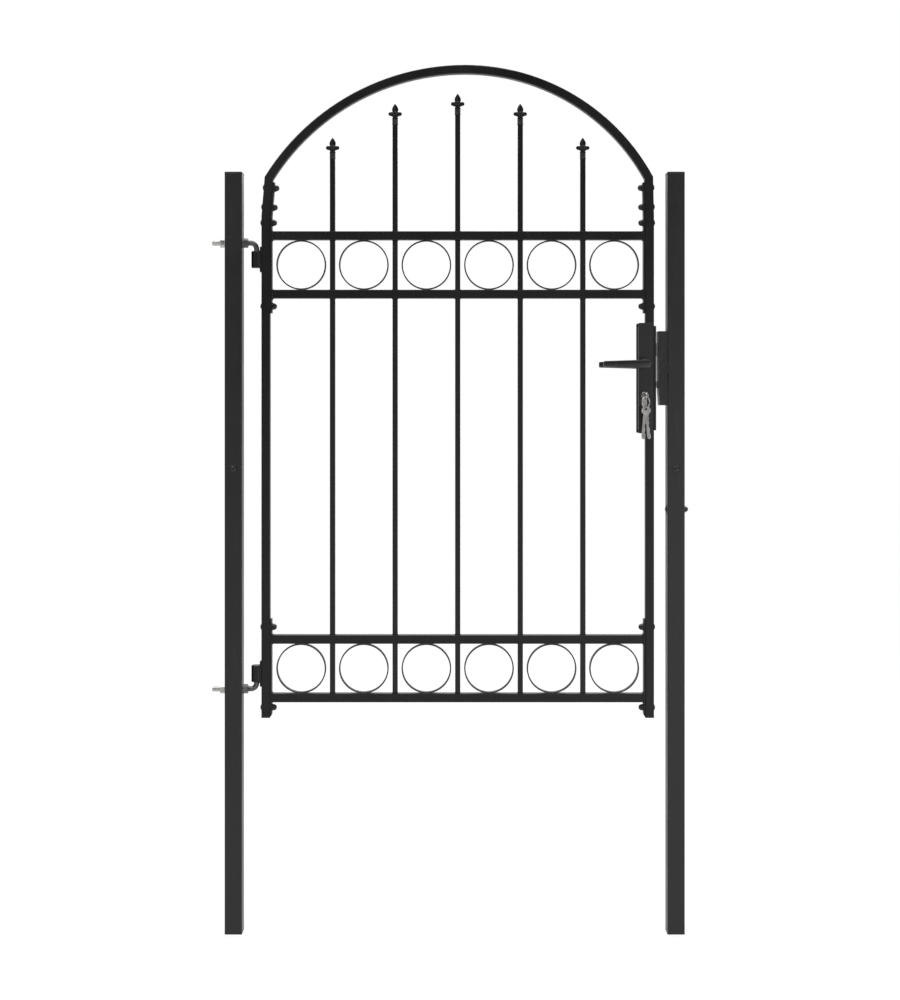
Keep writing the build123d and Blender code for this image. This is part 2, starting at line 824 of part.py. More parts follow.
for side_name, outward in (("front", -1), ("back", 1)):
    inner_plane = Plane(
        origin=(0, outward * lock_case_depth / 2, 0), x_dir=(1, 0, 0), z_dir=(0, -1, 0)
    )
    with BuildPart() as plate:
        with BuildSketch(inner_plane):
            with Locations((plate_centre_x, lock_centre)):
                RectangleRounded(lock_plate_width, lock_plate_height, lock_plate_corner)
        extrude(amount=-outward * lock_plate_thickness)
        outer_face = plate.faces().sort_by(Axis.Y, reverse=outward > 0)[0]
        chamfer(outer_face.edges(), lock_plate_edge)
        hole_across(spindle_x, 0, spindle_z, spindle_bore_radius, "Y")
        with BuildSketch(Plane.XZ):
            cylinder_outline(cylinder_clearance)
        extrude(amount=2 * lock_case_depth, both=True, mode=Mode.SUBTRACT)
    save(plate, f"lock_plate_{side_name}")

# Levers: a round neck on a rose, turning into a grip that tapers to its tip
lever_taper = math.asin((lever_hub_radius - lever_tip_height / 2) / lever_length)
grip_root_x = spindle_x - lever_hub_radius * math.sin(lever_taper)
grip_root_rise = lever_hub_radius * math.cos(lever_taper)
grip_tip_x = spindle_x - lever_length
hub_foot = lever_reach - lever_hub_depth
rose_foot = plate_face + lever_plate_gap
for side_name, outward in (("front", -1), ("back", 1)):
    with BuildPart() as lever:
        with BuildSketch(Plane.XZ) as front_view:
            with BuildLine():
                Polyline(
                    (grip_root_x, spindle_z + grip_root_rise),
                    (grip_tip_x, spindle_z + lever_tip_height / 2),
                    (grip_tip_x, spindle_z - lever_tip_height / 2),
                    (grip_root_x, spindle_z - grip_root_rise),
                )
                ThreePointArc(
                    (grip_root_x, spindle_z - grip_root_rise),
                    (spindle_x + lever_hub_radius, spindle_z),
                    (grip_root_x, spindle_z + grip_root_rise),
                )
            make_face()
            fillet(front_view.vertices().sort_by(Axis.X)[0:2], lever_tip_round)
        extrude(amount=-outward * lever_reach)
        with BuildSketch(Plane.XY.offset(spindle_z)):
            Polygon(
                (spindle_x + lever_hub_radius, outward * hub_foot),
                (spindle_x + lever_hub_radius, outward * lever_reach),
                (grip_tip_x, outward * lever_reach),
                (grip_tip_x, outward * (lever_reach - lever_tip_depth)),
                (spindle_x - lever_hub_radius, outward * hub_foot),
                align=None,
            )
        extrude(amount=lever_hub_radius, both=True, mode=Mode.INTERSECT)
        grip_sides = lever.faces().sort_by(Axis.Y, reverse=outward > 0)
        chamfer(grip_sides[0].edges(), lever_edge)
        rose_plane = Plane(
            origin=(spindle_x, outward * rose_foot, spindle_z),
            x_dir=(1, 0, 0),
            z_dir=(0, outward, 0),
        )
        with BuildSketch(rose_plane):
            Circle(lever_neck_radius)
        extrude(amount=(hub_foot + lever_reach) / 2 - rose_foot)
        with BuildSketch(rose_plane):
            Circle(lever_rose_radius)
        extrude(amount=lever_rose_depth, taper=lever_rose_taper)
    save(lever, f"lever_{side_name}")

with BuildPart() as spindle:
    block(
        centred(spindle_x, spindle_width),
        centred(0, 2 * (plate_face + lever_plate_gap)),
        centred(spindle_z, spindle_width),
    )
save(spindle, "lever_spindle")

with BuildPart() as cylinder:
    with BuildSketch(Plane.XZ):
        cylinder_outline(0)
    extrude(amount=plate_face + cylinder_proud, both=True)
    chamfer(cylinder.faces().filter_by(Axis.Y).edges(), cylinder_edge)
    block(
        centred(spindle_x, keyway_width),
        (-plate_face - cylinder_proud, -plate_face - cylinder_proud + keyway_depth),
        centred(cylinder_z, keyway_height),
        mode=Mode.SUBTRACT,
    )
save(cylinder, "lock_cylinder")

with BuildPart() as latch:
    block(
        (latch_back, latch_back + latch_length),
        centred(0, latch_depth),
        centred(latch_z, latch_height),
    )
    nose_edge = latch.edges().filter_by(Axis.Z).group_by(Axis.X)[-1].sort_by(Axis.Y)[-1]
    chamfer(nose_edge, latch_bevel_length, latch_bevel_depth)
save(latch, "latch_bolt")

with BuildPart() as dead_bolt:
    block(
        (dead_bolt_back, dead_bolt_back + dead_bolt_length),
        centred(0, dead_bolt_depth),
        centred(dead_bolt_z, dead_bolt_height),
    )
save(dead_bolt, "dead_bolt")

# Keeper: folded box on the latch post, open towards the post, with slots for both bolts
keeper_foot = keeper_centre - keeper_height / 2
keeper_top = keeper_centre + keeper_height / 2
with BuildPart() as keeper:
    with BuildSketch(Plane.XZ):
        Polygon(
            (post_face_latch, keeper_foot),
            (post_face_latch, keeper_top),
            (keeper_face, keeper_top),
            (keeper_face, keeper_foot + keeper_slant_height),
            (keeper_face + keeper_slant_width, keeper_foot),
            align=None,
        )
    extrude(amount=keeper_depth / 2, both=True)
    with BuildSketch(Plane.XZ):
        Polygon(
            (post_face_latch, keeper_foot + keeper_wall),
            (post_face_latch, keeper_top - keeper_wall),
            (keeper_face + keeper_wall, keeper_top - keeper_wall),
            (keeper_face + keeper_wall, keeper_foot + keeper_slant_height),
            (keeper_face + keeper_wall + keeper_slant_width, keeper_foot + keeper_wall),
            align=None,
        )
    extrude(amount=keeper_depth / 2 - keeper_wall, both=True, mode=Mode.SUBTRACT)
    for bolt_z, bolt_height, bolt_depth in (
        (latch_z, latch_height, latch_depth),
        (dead_bolt_z, dead_bolt_height, dead_bolt_depth),
    ):
        block(
            (keeper_face - keeper_wall, keeper_face + 2 * keeper_wall),
            centred(0, bolt_depth + 2 * keeper_slot_clearance),
            centred(bolt_z, bolt_height + 2 * keeper_slot_clearance),
            mode=Mode.SUBTRACT,
        )
save(keeper, "lock_keeper")

# Keys: one in the cylinder, two spares on a flat ring through its bow
bow_y = -plate_face - cylinder_proud - key_bow_gap - key_bow_radius
blade_tip_y = -plate_face - cylinder_proud + key_blade_length - key_bow_gap
hole_inset = key_bow_radius - key_hole_edge - key_hole_radius
hole_y = bow_y - hole_inset
side_plane = Plane(origin=(spindle_x, 0, 0), x_dir=(0, 1, 0), z_dir=(1, 0, 0))
with BuildPart() as key:
    with BuildSketch(side_plane):
        with Locations((bow_y, cylinder_z)):
            Circle(key_bow_radius)
        with Locations(((bow_y + blade_tip_y) / 2, cylinder_z)):
            Rectangle(blade_tip_y - bow_y, key_blade_width)
        with Locations((hole_y, cylinder_z)):
            Circle(key_hole_radius, mode=Mode.SUBTRACT)
    extrude(amount=key_thickness / 2, both=True)
save(key, "key")

ring_top_z = cylinder_z - key_hole_radius + key_ring_wire + key_ring_seat
ring_centre_z = ring_top_z - key_ring_radius
ring_way = Vector(1, 0, 0).rotate(Axis.Z, key_ring_turn)
ring_plane = Plane(
    origin=(spindle_x, hole_y, ring_centre_z),
    x_dir=ring_way,
    z_dir=ring_way.rotate(Axis.Z, 90),
)
with BuildPart() as key_ring:
    with BuildSketch(ring_plane):
        Circle(key_ring_radius + key_ring_wire)
        Circle(key_ring_radius - key_ring_wire, mode=Mode.SUBTRACT)
    extrude(amount=key_ring_wire, both=True)
save(key_ring, "key_ring")

with BuildPart() as spare_keys:
    for place in (-1, 1):
        spread = math.radians(place * spare_key_spread)
        wire = ring_plane.origin + ring_way * key_ring_radius * math.sin(spread)
        wire_z = wire.Z - key_ring_radius * math.cos(spread)
        hole_z = wire_z - key_hole_radius + key_ring_wire + key_ring_seat
        facing = Vector(1, 0, 0).rotate(Axis.Z, spare_key_turn)
        across = facing.rotate(Axis.Z, 90)
        swing = math.radians(spare_key_lean - place * spare_key_swing)
        key_plane = Plane(
            origin=(wire.X, wire.Y, hole_z),
            x_dir=across * math.cos(swing) + Vector(0, 0, math.sin(swing)),
            z_dir=facing,
        )
        with BuildSketch(key_plane):
            with Locations((0, -hole_inset)):
                Circle(key_bow_radius)
            with Locations((0, -hole_inset - spare_key_length / 2)):
                Rectangle(key_blade_width, spare_key_length)
            Circle(key_hole_radius, mode=Mode.SUBTRACT)
        extrude(amount=key_thickness / 2, both=True)
save(spare_keys, "spare_keys")
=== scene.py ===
"""Dresses the arched garden gate: coats, welds, threads, lever handles, keys and the studio it stands in."""

import logging
import math
from collections.abc import Iterable, Sequence
from dataclasses import dataclass
from enum import Enum

import bmesh
import bpy
from mathutils import Matrix, Vector

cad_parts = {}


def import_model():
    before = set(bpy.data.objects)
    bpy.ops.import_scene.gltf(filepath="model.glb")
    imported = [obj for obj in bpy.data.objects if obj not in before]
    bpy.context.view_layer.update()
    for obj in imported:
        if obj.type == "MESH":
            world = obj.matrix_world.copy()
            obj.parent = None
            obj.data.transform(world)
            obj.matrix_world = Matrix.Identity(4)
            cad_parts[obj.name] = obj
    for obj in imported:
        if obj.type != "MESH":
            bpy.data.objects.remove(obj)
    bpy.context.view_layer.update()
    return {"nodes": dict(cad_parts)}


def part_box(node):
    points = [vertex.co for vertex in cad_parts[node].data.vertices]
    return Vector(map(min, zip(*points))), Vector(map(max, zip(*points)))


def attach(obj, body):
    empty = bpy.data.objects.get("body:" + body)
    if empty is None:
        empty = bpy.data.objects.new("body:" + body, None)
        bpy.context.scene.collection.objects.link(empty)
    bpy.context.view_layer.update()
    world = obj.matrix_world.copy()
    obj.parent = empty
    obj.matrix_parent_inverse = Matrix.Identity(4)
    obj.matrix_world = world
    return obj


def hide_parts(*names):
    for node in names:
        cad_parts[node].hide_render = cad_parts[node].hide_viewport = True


log = logging.getLogger("garden_gate")

BMVert = bmesh.types.BMVert
BMEdge = bmesh.types.BMEdge
NodeTree = bpy.types.NodeTree
Outputs = bpy.types.NodeOutputs
Socket = bpy.types.NodeSocket
Colour = tuple[float, float, float]
Profile = Sequence[tuple[float, float]]
Run = Sequence[tuple[float, float, float]]

MM = 0.001
X_WAY = Vector((1.0, 0.0, 0.0))
Y_WAY = Vector((0.0, 1.0, 0.0))
Z_WAY = Vector((0.0, 0.0, 1.0))
WHITE = (1.0, 1.0, 1.0, 1.0)
BOTH_WAYS = (-1.0, 1.0)
RAILS = ("rail_upper_top", "rail_upper_bottom", "rail_lower_top", "rail_lower_bottom")


class Slot(Enum):
    """Material slots of the gate's record."""

    POWDER = "powder_black"
    CAST = "cast_black"
    CAP = "cap_plastic"
    BOLT = "bolt_black"
    ZINC = "zinc_plate"
    LEVER = "lever_black"
    LOCK = "lock_steel"
    NICKEL = "nickel"


class Body(Enum):
    """Parts of the gate that move as one."""

    POSTS = "posts"
    LEAF = "leaf"
    HANDLE = "handle"


class Side(Enum):
    """Front and back of the leaf, as the sign of Y."""

    FRONT = -1
    BACK = 1


# ---------------------------------------------------------------- nodes


@dataclass(frozen=True)
class NodeBoard:
    """Places the nodes of one tree and joins them.

    An input is a number or colour, which is set on the socket itself, or the socket that it comes from.
    """

    tree: NodeTree

    def put(self, kind: str, inputs: dict[str | int, object] | None = None, **settings: object) -> bpy.types.Node:
        """Places a node.

        Args:
            kind: Type of the node.
            inputs: Its inputs, by name or by place where a name is used twice.
            settings: Settings of the node itself.

        Returns:
            The node.
        """
        node = self.tree.nodes.new(kind)
        for name, value in settings.items():
            setattr(node, name, value)
        for name, value in (inputs or {}).items():
            if isinstance(value, Socket):
                self.tree.links.new(value, node.inputs[name])
            else:
                node.inputs[name].default_value = value
        return node

    def group(self, tree: NodeTree, inputs: dict[str, float]) -> Outputs:
        """Places a shared group with its own values and gives its outputs."""
        return self.put("ShaderNodeGroup", inputs, node_tree=tree).outputs

    def noise(self, scale: float | Socket, detail: float, rough: float = 0.5, place: Socket | None = None) -> Socket:
        """Places a noise pattern.

        Args:
            scale: Its scale.
            detail: Its detail.
            rough: Its roughness.
            place: Where it is read; the object's own coordinates where it isn't given.

        Returns:
            The pattern, from 0 to 1.
        """
        place = place or self.put("ShaderNodeTexCoord").outputs["Object"]
        inputs = {"Vector": place, "Scale": scale, "Detail": detail, "Roughness": rough}
        return self.put("ShaderNodeTexNoise", inputs).outputs["Fac"]

    def part(self, vector: Socket, axis: str) -> Socket:
        """Takes one axis of a vector."""
        return self.put("ShaderNodeSeparateXYZ", {"Vector": vector}).outputs[axis]

    def maths(self, operation: str, *inputs: float | Socket) -> Socket:
        """Places a sum or product and gives its result."""
        return self.put("ShaderNodeMath", dict(enumerate(inputs)), operation=operation).outputs["Value"]

    def reach(
        self, value: Socket, span: tuple[float, float], to: tuple[float, float] = (0.0, 1.0), smooth: bool = False
    ) -> Socket:
        """Stretches a value from one span to another.

        Args:
            value: The value.
            span: Where it starts and ends.
            to: What it starts and ends at afterwards.
            smooth: Whether it starts and ends gently.

        Returns:
            The stretched value.
        """
        inputs = {"Value": value, "From Min": span[0], "From Max": span[1], "To Min": to[0], "To Max": to[1]}
        kind = "SMOOTHSTEP" if smooth else "LINEAR"
        return self.put("ShaderNodeMapRange", inputs, interpolation_type=kind).outputs["Result"]

    def blend(self, factor: Socket, low: float | Socket, high: float | Socket) -> Socket:
        """Mixes two values; a Mix node's sockets for values are 2 and 3."""
        return self.put("ShaderNodeMix", {0: factor, 2: low, 3: high}).outputs[0]

    def mix(self, factor: Socket, low: Colour | Socket, high: Colour) -> Socket:
        """Mixes two colours; a Mix node's sockets for colours are 6 and 7, and 2 on its way out."""
        low = low if isinstance(low, Socket) else (*low, 1.0)
        return self.put("ShaderNodeMix", {0: factor, 6: low, 7: (*high, 1.0)}, data_type="RGBA").outputs[2]


@dataclass(frozen=True)
class SurfaceGroups:
    """Node groups that several finishes share."""

    peel: NodeTree
    dust: NodeTree
    rub_and_sheen: NodeTree

    @classmethod
    def build(cls) -> "SurfaceGroups":
        """Makes the three groups, ready to be placed in materials."""
        return cls(cls._peel(), cls._dust(), cls._rub_and_sheen())

    @staticmethod
    def _open(name: str, inputs: dict[str, float], outputs: Sequence[str]) -> tuple[NodeBoard, Outputs]:
        """Opens a group and gives it its sockets.

        Args:
            name: Name of the group.
            inputs: Name and default of each input value.
            outputs: Name of each output value.

        Returns:
            The group's board, and the sockets that its inputs come in by.
        """
        tree = bpy.data.node_groups.new(name, "ShaderNodeTree")
        for socket, value in inputs.items():
            made = tree.interface.new_socket(name=socket, in_out="INPUT", socket_type="NodeSocketFloat")
            made.default_value = value
        for socket in outputs:
            tree.interface.new_socket(name=socket, in_out="OUTPUT", socket_type="NodeSocketFloat")
        board = NodeBoard(tree)
        return board, board.put("NodeGroupInput").outputs

    @classmethod
    def _peel(cls) -> NodeTree:
        """Orange peel of a sprayed or baked coat, with slow changes of tone.

        Returns:
            The group, with Height and Tone out.
        """
        board, given = cls._open("coat_peel", {"Scale": 420.0, "Slow": 5.0}, ("Height", "Tone"))
        fine = board.noise(given["Scale"], 2.0)
        coarse = board.noise(given["Slow"], 4.0, 0.6)
        board.put("NodeGroupOutput", {"Height": fine, "Tone": coarse})
        return board.tree

    @classmethod
    def _dust(cls) -> NodeTree:
        """Dust that lies thinly on faces that look up.

        Returns:
            The group, with Mask out.
        """
        board, given = cls._open("settled_dust", {"Amount": 0.2, "Scale": 60.0}, ("Mask",))
        normal = board.put("ShaderNodeNewGeometry").outputs["Normal"]
        upward = board.reach(board.part(normal, "Z"), (0.45, 1.0))
        patchy = board.reach(board.noise(given["Scale"], 5.0), (0.35, 0.7))
        mask = board.maths("MULTIPLY", board.maths("MULTIPLY", upward, patchy), given["Amount"])
        board.put("NodeGroupOutput", {"Mask": mask})
        return board.tree

    @classmethod
    def _rub_and_sheen(cls) -> NodeTree:
        """Fine rub marks and scratches, drawn out along Z; on the rope collars they carry painted highlights.

        Returns:
            The group, with Mask out.
        """
        board, given = cls._open("rub_and_sheen_marks", {"Amount": 0.3, "Scale": 90.0}, ("Mask",))
        place = board.put("ShaderNodeTexCoord").outputs["Object"]
        drawn = board.put("ShaderNodeMapping", {"Vector": place, "Scale": (1.0, 1.0, 0.12)}).outputs["Vector"]
        sharp = board.reach(board.noise(given["Scale"], 6.0, 0.7, drawn), (0.56, 0.74))
        board.put("NodeGroupOutput", {"Mask": board.maths("MULTIPLY", sharp, given["Amount"])})
        return board.tree


# ---------------------------------------------------------------- finishes


@dataclass(frozen=True)
class Shade:
    """A deeper tone painted along one axis of the gate, in metres: painted shade on the zinc hooks, a darker top on
    the bars.
    """

    axis: str
    start: float
    end: float
    colour: Colour


@dataclass(frozen=True)
class Finish:
    """A finish of the gate: two tones, rub marks that also carry painted highlights, dust, and a fine relief."""

    name: str
    slot: Slot
    deep: Colour
    light: Colour
    wear_and_sheen: Colour = (0.12, 0.12, 0.12)
    dusty: Colour = (0.16, 0.155, 0.15)
    rough_low: float = 0.38
    rough_high: float = 0.5
    metallic: float = 0.0
    specular: float = 0.5
    coat: float = 0.0
    coat_rough: float = 0.3
    relief: float = 0.25
    relief_depth: float = 0.00006
    relief_scale: float = 420.0
    slow_scale: float = 5.0
    tone_span: tuple[float, float] = (0.3, 0.7)
    rub_and_sheen: float = 0.1
    rub_and_sheen_scale: float = 90.0
    dust: float = 0.2
    dust_dulling: float = 0.35
    shade: Shade | None = None

    def build(self, groups: SurfaceGroups) -> bpy.types.Material:
        """Makes the material.

        Args:
            groups: The shared surface effects.

        Returns:
            The node material.
        """
        material = bpy.data.materials.new(self.name)
        material.use_nodes = True
        material.node_tree.nodes.clear()
        board = NodeBoard(material.node_tree)
        peel = board.group(groups.peel, {"Scale": self.relief_scale, "Slow": self.slow_scale})
        rub_and_sheen = board.group(groups.rub_and_sheen, {"Amount": self.rub_and_sheen, "Scale": self.rub_and_sheen_scale})
        dust = board.group(groups.dust, {"Amount": self.dust})
        tones = board.mix(board.reach(peel["Tone"], self.tone_span), self.deep, self.light)
        dusty = board.mix(dust["Mask"], board.mix(rub_and_sheen["Mask"], tones, self.wear_and_sheen), self.dusty)
        gloss = board.reach(peel["Tone"], self.tone_span, (self.rough_low, self.rough_high))
        relief = {"Strength": self.relief, "Distance": self.relief_depth, "Height": peel["Height"]}
        surface = {
            "Base Color": self._shaded(board, dusty),
            "Metallic": self.metallic,
            "Roughness": board.maths("MULTIPLY_ADD", dust["Mask"], self.dust_dulling, gloss),
            "Normal": board.put("ShaderNodeBump", relief).outputs["Normal"],
            "Specular IOR Level": self.specular,
            "Coat Weight": self.coat,
            "Coat Roughness": self.coat_rough,
        }
        shader = board.put("ShaderNodeBsdfPrincipled", surface)
        board.put("ShaderNodeOutputMaterial", {"Surface": shader.outputs["BSDF"]})
        return material

    def _shaded(self, board: NodeBoard, colour: Socket) -> Socket:
        """Paints a deeper tone towards one end of the gate, where the finish asks for that; on the zinc hooks it is
        painted shade.

        Args:
            board: The material's nodes.
            colour: The colour so far.

        Returns:
            The colour to use.
        """
        if self.shade is None:
            return colour
        place = board.put("ShaderNodeTexCoord").outputs["Object"]
        span = (self.shade.start, self.shade.end)
        reach = board.reach(board.part(place, self.shade.axis), span, smooth=True)
        return board.mix(reach, colour, self.shade.colour)


class Look(Enum):
    """Finishes of the gate; several of them can share one slot of the record."""

    POST = Finish(
        "powder_post", Slot.POWDER, (0.0058, 0.0055, 0.0062), (0.0088, 0.0083, 0.0092),
        rough_low=0.34, rough_high=0.46, dust=0.06,
    )
    FRAME = Finish(
        "powder_frame", Slot.POWDER, (0.0034, 0.0032, 0.0037), (0.0056, 0.0053, 0.006),
        specular=0.36, rough_low=0.32, rough_high=0.44, dust=0.06,
    )
    BAR = Finish(
        "powder_bar", Slot.POWDER, (0.005, 0.0047, 0.0054), (0.0078, 0.0073, 0.0082),
        specular=0.4, rough_low=0.32, rough_high=0.44, dust=0.05,
        shade=Shade("Z", 1.56, 1.62, (0.0012, 0.0012, 0.0014)),
    )
    RING = Finish(
        "powder_ring", Slot.POWDER, (0.02, 0.0195, 0.02), (0.034, 0.033, 0.034),
        rough_low=0.3, rough_high=0.42, dust=0.05,
    )
    CAST = Finish(
        "cast_black", Slot.CAST, (0.0012, 0.0012, 0.0013), (0.0035, 0.0034, 0.0035), wear_and_sheen=(0.05, 0.05, 0.05),
        specular=0.24, rough_low=0.3, rough_high=0.46,
        relief=0.6, relief_depth=0.00022, relief_scale=260.0, slow_scale=40.0, rub_and_sheen=0.16, dust=0.08,
    )
    # Painted highlight: lighter tones and dense rub marks in the pale wear colour stand partly for a worn coat and
    # partly for light caught on the rope strands.
    ROPE = Finish(
        "cast_rope", Slot.CAST, (0.004, 0.004, 0.004), (0.014, 0.0138, 0.014), rough_low=0.3, rough_high=0.5,
        relief=0.6, relief_depth=0.0002, relief_scale=300.0, slow_scale=90.0, rub_and_sheen=0.6, rub_and_sheen_scale=220.0, dust=0.1,
    )
    CAP = Finish(
        "cap_plastic", Slot.CAP, (0.008, 0.008, 0.0085), (0.012, 0.012, 0.0125),
        rough_low=0.46, rough_high=0.58, relief=0.4, dust=0.15,
    )
    BOLT = Finish(
        "bolt_black", Slot.BOLT, (0.003, 0.003, 0.0033), (0.007, 0.007, 0.0074), wear_and_sheen=(0.1, 0.1, 0.1),
        rough_low=0.24, rough_high=0.38, rub_and_sheen=0.25, rub_and_sheen_scale=240.0, dust=0.05,
    )
    ZINC = Finish(
        "zinc_plate", Slot.ZINC, (0.36, 0.36, 0.35), (0.62, 0.61, 0.59),
        wear_and_sheen=(0.8, 0.8, 0.78), dusty=(0.35, 0.33, 0.3), rough_low=0.28, rough_high=0.44,
        metallic=1.0, slow_scale=70.0, relief=0.3, rub_and_sheen=0.4, dust=0.1,
        # Painted shade: the zinc parts turn darker from X = 0 to 0.03 m, over the hooks' right-hand lengths.
        shade=Shade("X", 0.0, 0.03, (0.13, 0.13, 0.135)),
    )
    LEVER = Finish(
        "lever_black", Slot.LEVER, (0.0055, 0.0053, 0.0058), (0.0085, 0.0082, 0.0088),
        rough_low=0.28, rough_high=0.38, coat=0.2, relief=0.15, dust=0.08,
    )
    LOCK = Finish(
        "lock_steel", Slot.LOCK, (0.36, 0.36, 0.355), (0.5, 0.495, 0.485), wear_and_sheen=(0.66, 0.66, 0.65),
        rough_low=0.3, rough_high=0.42, metallic=1.0, rub_and_sheen=0.5, rub_and_sheen_scale=160.0, dust=0.05,
    )
    NICKEL = Finish(
        "nickel", Slot.NICKEL, (0.36, 0.355, 0.345), (0.5, 0.49, 0.475), wear_and_sheen=(0.68, 0.68, 0.66),
        rough_low=0.24, rough_high=0.36, metallic=1.0, slow_scale=60.0, rub_and_sheen=0.4, rub_and_sheen_scale=200.0, dust=0.0,
    )


class FinishShelf:
    """Holds each finish as a material, made the first time it is asked for."""

    def __init__(self) -> None:
        """Makes the shared groups."""
        self._groups = SurfaceGroups.build()
        self._made: dict[Look, bpy.types.Material] = {}

    def get(self, look: Look) -> bpy.types.Material:
        """Gives a finish's material.

        Args:
            look: The finish.

        Returns:
            The material.
        """
        if look not in self._made:
            self._made[look] = look.value.build(self._groups)
        return self._made[look]


# ---------------------------------------------------------------- mesh tools


def extent(corners: Iterable[Vector]) -> tuple[Vector, Vector]:
    """Gives the lowest and the highest corner of the box round some points."""
    axes = list(zip(*corners))
    return Vector(map(min, axes)), Vector(map(max, axes))


def middle(box: tuple[Vector, Vector]) -> Vector:
    """Gives the middle of a box."""
    return (box[0] + box[1]) / 2


def inside(low: float, high: float, inset: float) -> tuple[float, float]:
    """Gives two places that lie inside two ends."""
    return low + inset, high - inset


class Forge:
    """A mesh in the making, and the operations that the sub-assemblies share."""

    def __init__(self) -> None:
        """Starts an empty mesh."""
        self.bm = bmesh.new()

    @staticmethod
    def edges_of(verts: Iterable[BMVert]) -> list[BMEdge]:
        """Gives the edges that meet at some vertices, each of them once."""
        return list(dict.fromkeys(edge for vert in verts for edge in vert.link_edges))

    @staticmethod
    def rise(edge: BMEdge) -> float:
        """Gives the difference in height of an edge's ends."""
        return abs(edge.verts[0].co.z - edge.verts[1].co.z)

    def soften(self, edges: list[BMEdge], offset: float, segments: int, clamp: bool = False) -> list[BMVert]:
        """Rounds some edges.

        Args:
            edges: The edges.
            offset: How far the rounding reaches.
            segments: Steps round each edge.
            clamp: Whether the rounding stops where it meets another.

        Returns:
            The vertices of the roundings.
        """
        return bmesh.ops.bevel(
            self.bm, geom=edges, offset=offset, segments=segments, profile=0.5, affect="EDGES", material=-1,
            clamp_overlap=clamp,
        )["verts"]

    def new_ring(self, radius: float, sides: int, place: Matrix) -> list[BMEdge]:
        """Lays a closed ring of edges.

        Args:
            radius: Radius of the ring.
            sides: Number of edges.
            place: Where the ring lies; its axis is the matrix's Z.

        Returns:
            The ring's edges.
        """
        made = bmesh.ops.create_circle(self.bm, cap_ends=False, segments=sides, radius=radius, matrix=place)
        return self.edges_of(made["verts"])

    def block(self, low: Vector, high: Vector) -> list[BMVert]:
        """Sets a square block, to be shaped further, and gives its corners."""
        place = Matrix.Translation((low + high) / 2) @ Matrix.Diagonal((*(high - low), 1.0))
        return bmesh.ops.create_cube(self.bm, size=1.0, matrix=place)["verts"]

    @staticmethod
    def station(place: Vector, along: Vector, width: float, depth: float) -> Matrix:
        """Gives the placing of one ring of a sweep.

        Args:
            place: Centre of the ring.
            along: Direction of the sweep there.
            width: Half width of the ring, level where the sweep is level.
            depth: Half depth of the ring, across its width.

        Returns:
            The matrix that lays a ring of radius 1 there.
        """
        turn = along.to_track_quat("Z", "Y").to_matrix().to_4x4()
        return Matrix.Translation(place) @ turn @ Matrix.Diagonal((width, depth, 1.0, 1.0))

    def sweep(self, sides: int, stations: Sequence[Matrix]) -> list[BMVert]:
        """Draws a ring through a row of placings and closes both ends.

        Args:
            sides: Number of sides of the ring.
            stations: Placings of a ring of radius 1, from the start to the end.

        Returns:
            The vertices of the sweep.
        """
        edges = self.new_ring(1.0, sides, stations[0])
        bmesh.ops.contextual_create(self.bm, geom=edges)
        made = list(dict.fromkeys(vert for edge in edges for vert in edge.verts))
        for before, after in zip(stations, stations[1:]):
            drawn = bmesh.ops.extrude_edge_only(self.bm, edges=edges)["geom"]
            verts = [item for item in drawn if isinstance(item, BMVert)]
            edges = [item for item in drawn if isinstance(item, BMEdge)]
            bmesh.ops.transform(self.bm, matrix=after @ before.inverted(), verts=verts)
            made += verts
        bmesh.ops.contextual_create(self.bm, geom=edges)
        return made

    def turned(self, profile: Profile, foot: Vector, along: Vector = Z_WAY, sides: int = 24) -> None:
        """Turns a profile about an axis.

        Args:
            profile: Distance along the axis and radius, in millimetres, from one end to the other.
            foot: Where the axis starts.
            along: Direction of the axis.
            sides: Number of sides.
        """
        places = ((foot + along * way * MM, size * MM) for way, size in profile)
        self.sweep(sides, [self.station(place, along, size, size) for place, size in places])

    def hoop(self, centre: Vector, normal: Vector, radius: float, wire: float) -> None:
        """Bends a round wire into a closed hoop.

        Args:
            centre: Centre of the hoop.
            normal: Direction of its axis.
            radius: Radius to the middle of the wire.
            wire: Radius of the wire.
        """
        out = normal.orthogonal().normalized()
        ring = self.new_ring(wire, 10, self.station(centre + out * radius, normal.cross(out), 1.0, 1.0))
        verts = list(dict.fromkeys(vert for edge in ring for vert in edge.verts))
        bmesh.ops.spin(
            self.bm, geom=verts + ring, cent=centre, axis=normal, dvec=Vector(), angle=math.tau, steps=48,
            use_merge=True, use_duplicate=False,
        )

    def plug(self, low: Vector, high: Vector, corner: float, edge: float) -> None:
        """Sets a low square plug with rounded corners and softer edges.

        Args:
            low: Its lowest corner.
            high: Its highest corner.
            corner: Radius of its four upright corners.
            edge: Radius of the edges round its two ends.
        """
        half = (high.z - low.z) / 2
        upright = [item for item in self.edges_of(self.block(low, high)) if self.rise(item) > half]
        made = self.soften(upright, corner, 5, clamp=True)
        self.soften([item for item in self.edges_of(made) if self.rise(item) < half], edge, 3, clamp=True)

    def bead(self, start: Vector, end: Vector, radius: float, sides: int = 8) -> None:
        """Runs a weld bead in a straight line, with the ripples that a weld leaves.

        Args:
            start: Where the bead begins.
            end: Where it ends.
            radius: Radius of the bead.
            sides: Edges round the bead.
        """
        ripple, end_share, lowest_swell, trough = 0.0028, 0.35, 0.12, 0.84
        run = end - start
        steps = max(4, 2 * round(run.length / ripple))
        stations = [self.station(start, run, radius * end_share, radius * end_share)]
        for step in range(1, steps + 1):
            part = step / steps
            swell = math.sqrt(max(lowest_swell, 1.0 - abs(2.0 * part - 1.0) ** 6))
            size = radius * swell * (1.0 if step % 2 else trough)
            stations.append(self.station(start + run * part, run, size, size))
        self.sweep(sides, stations)

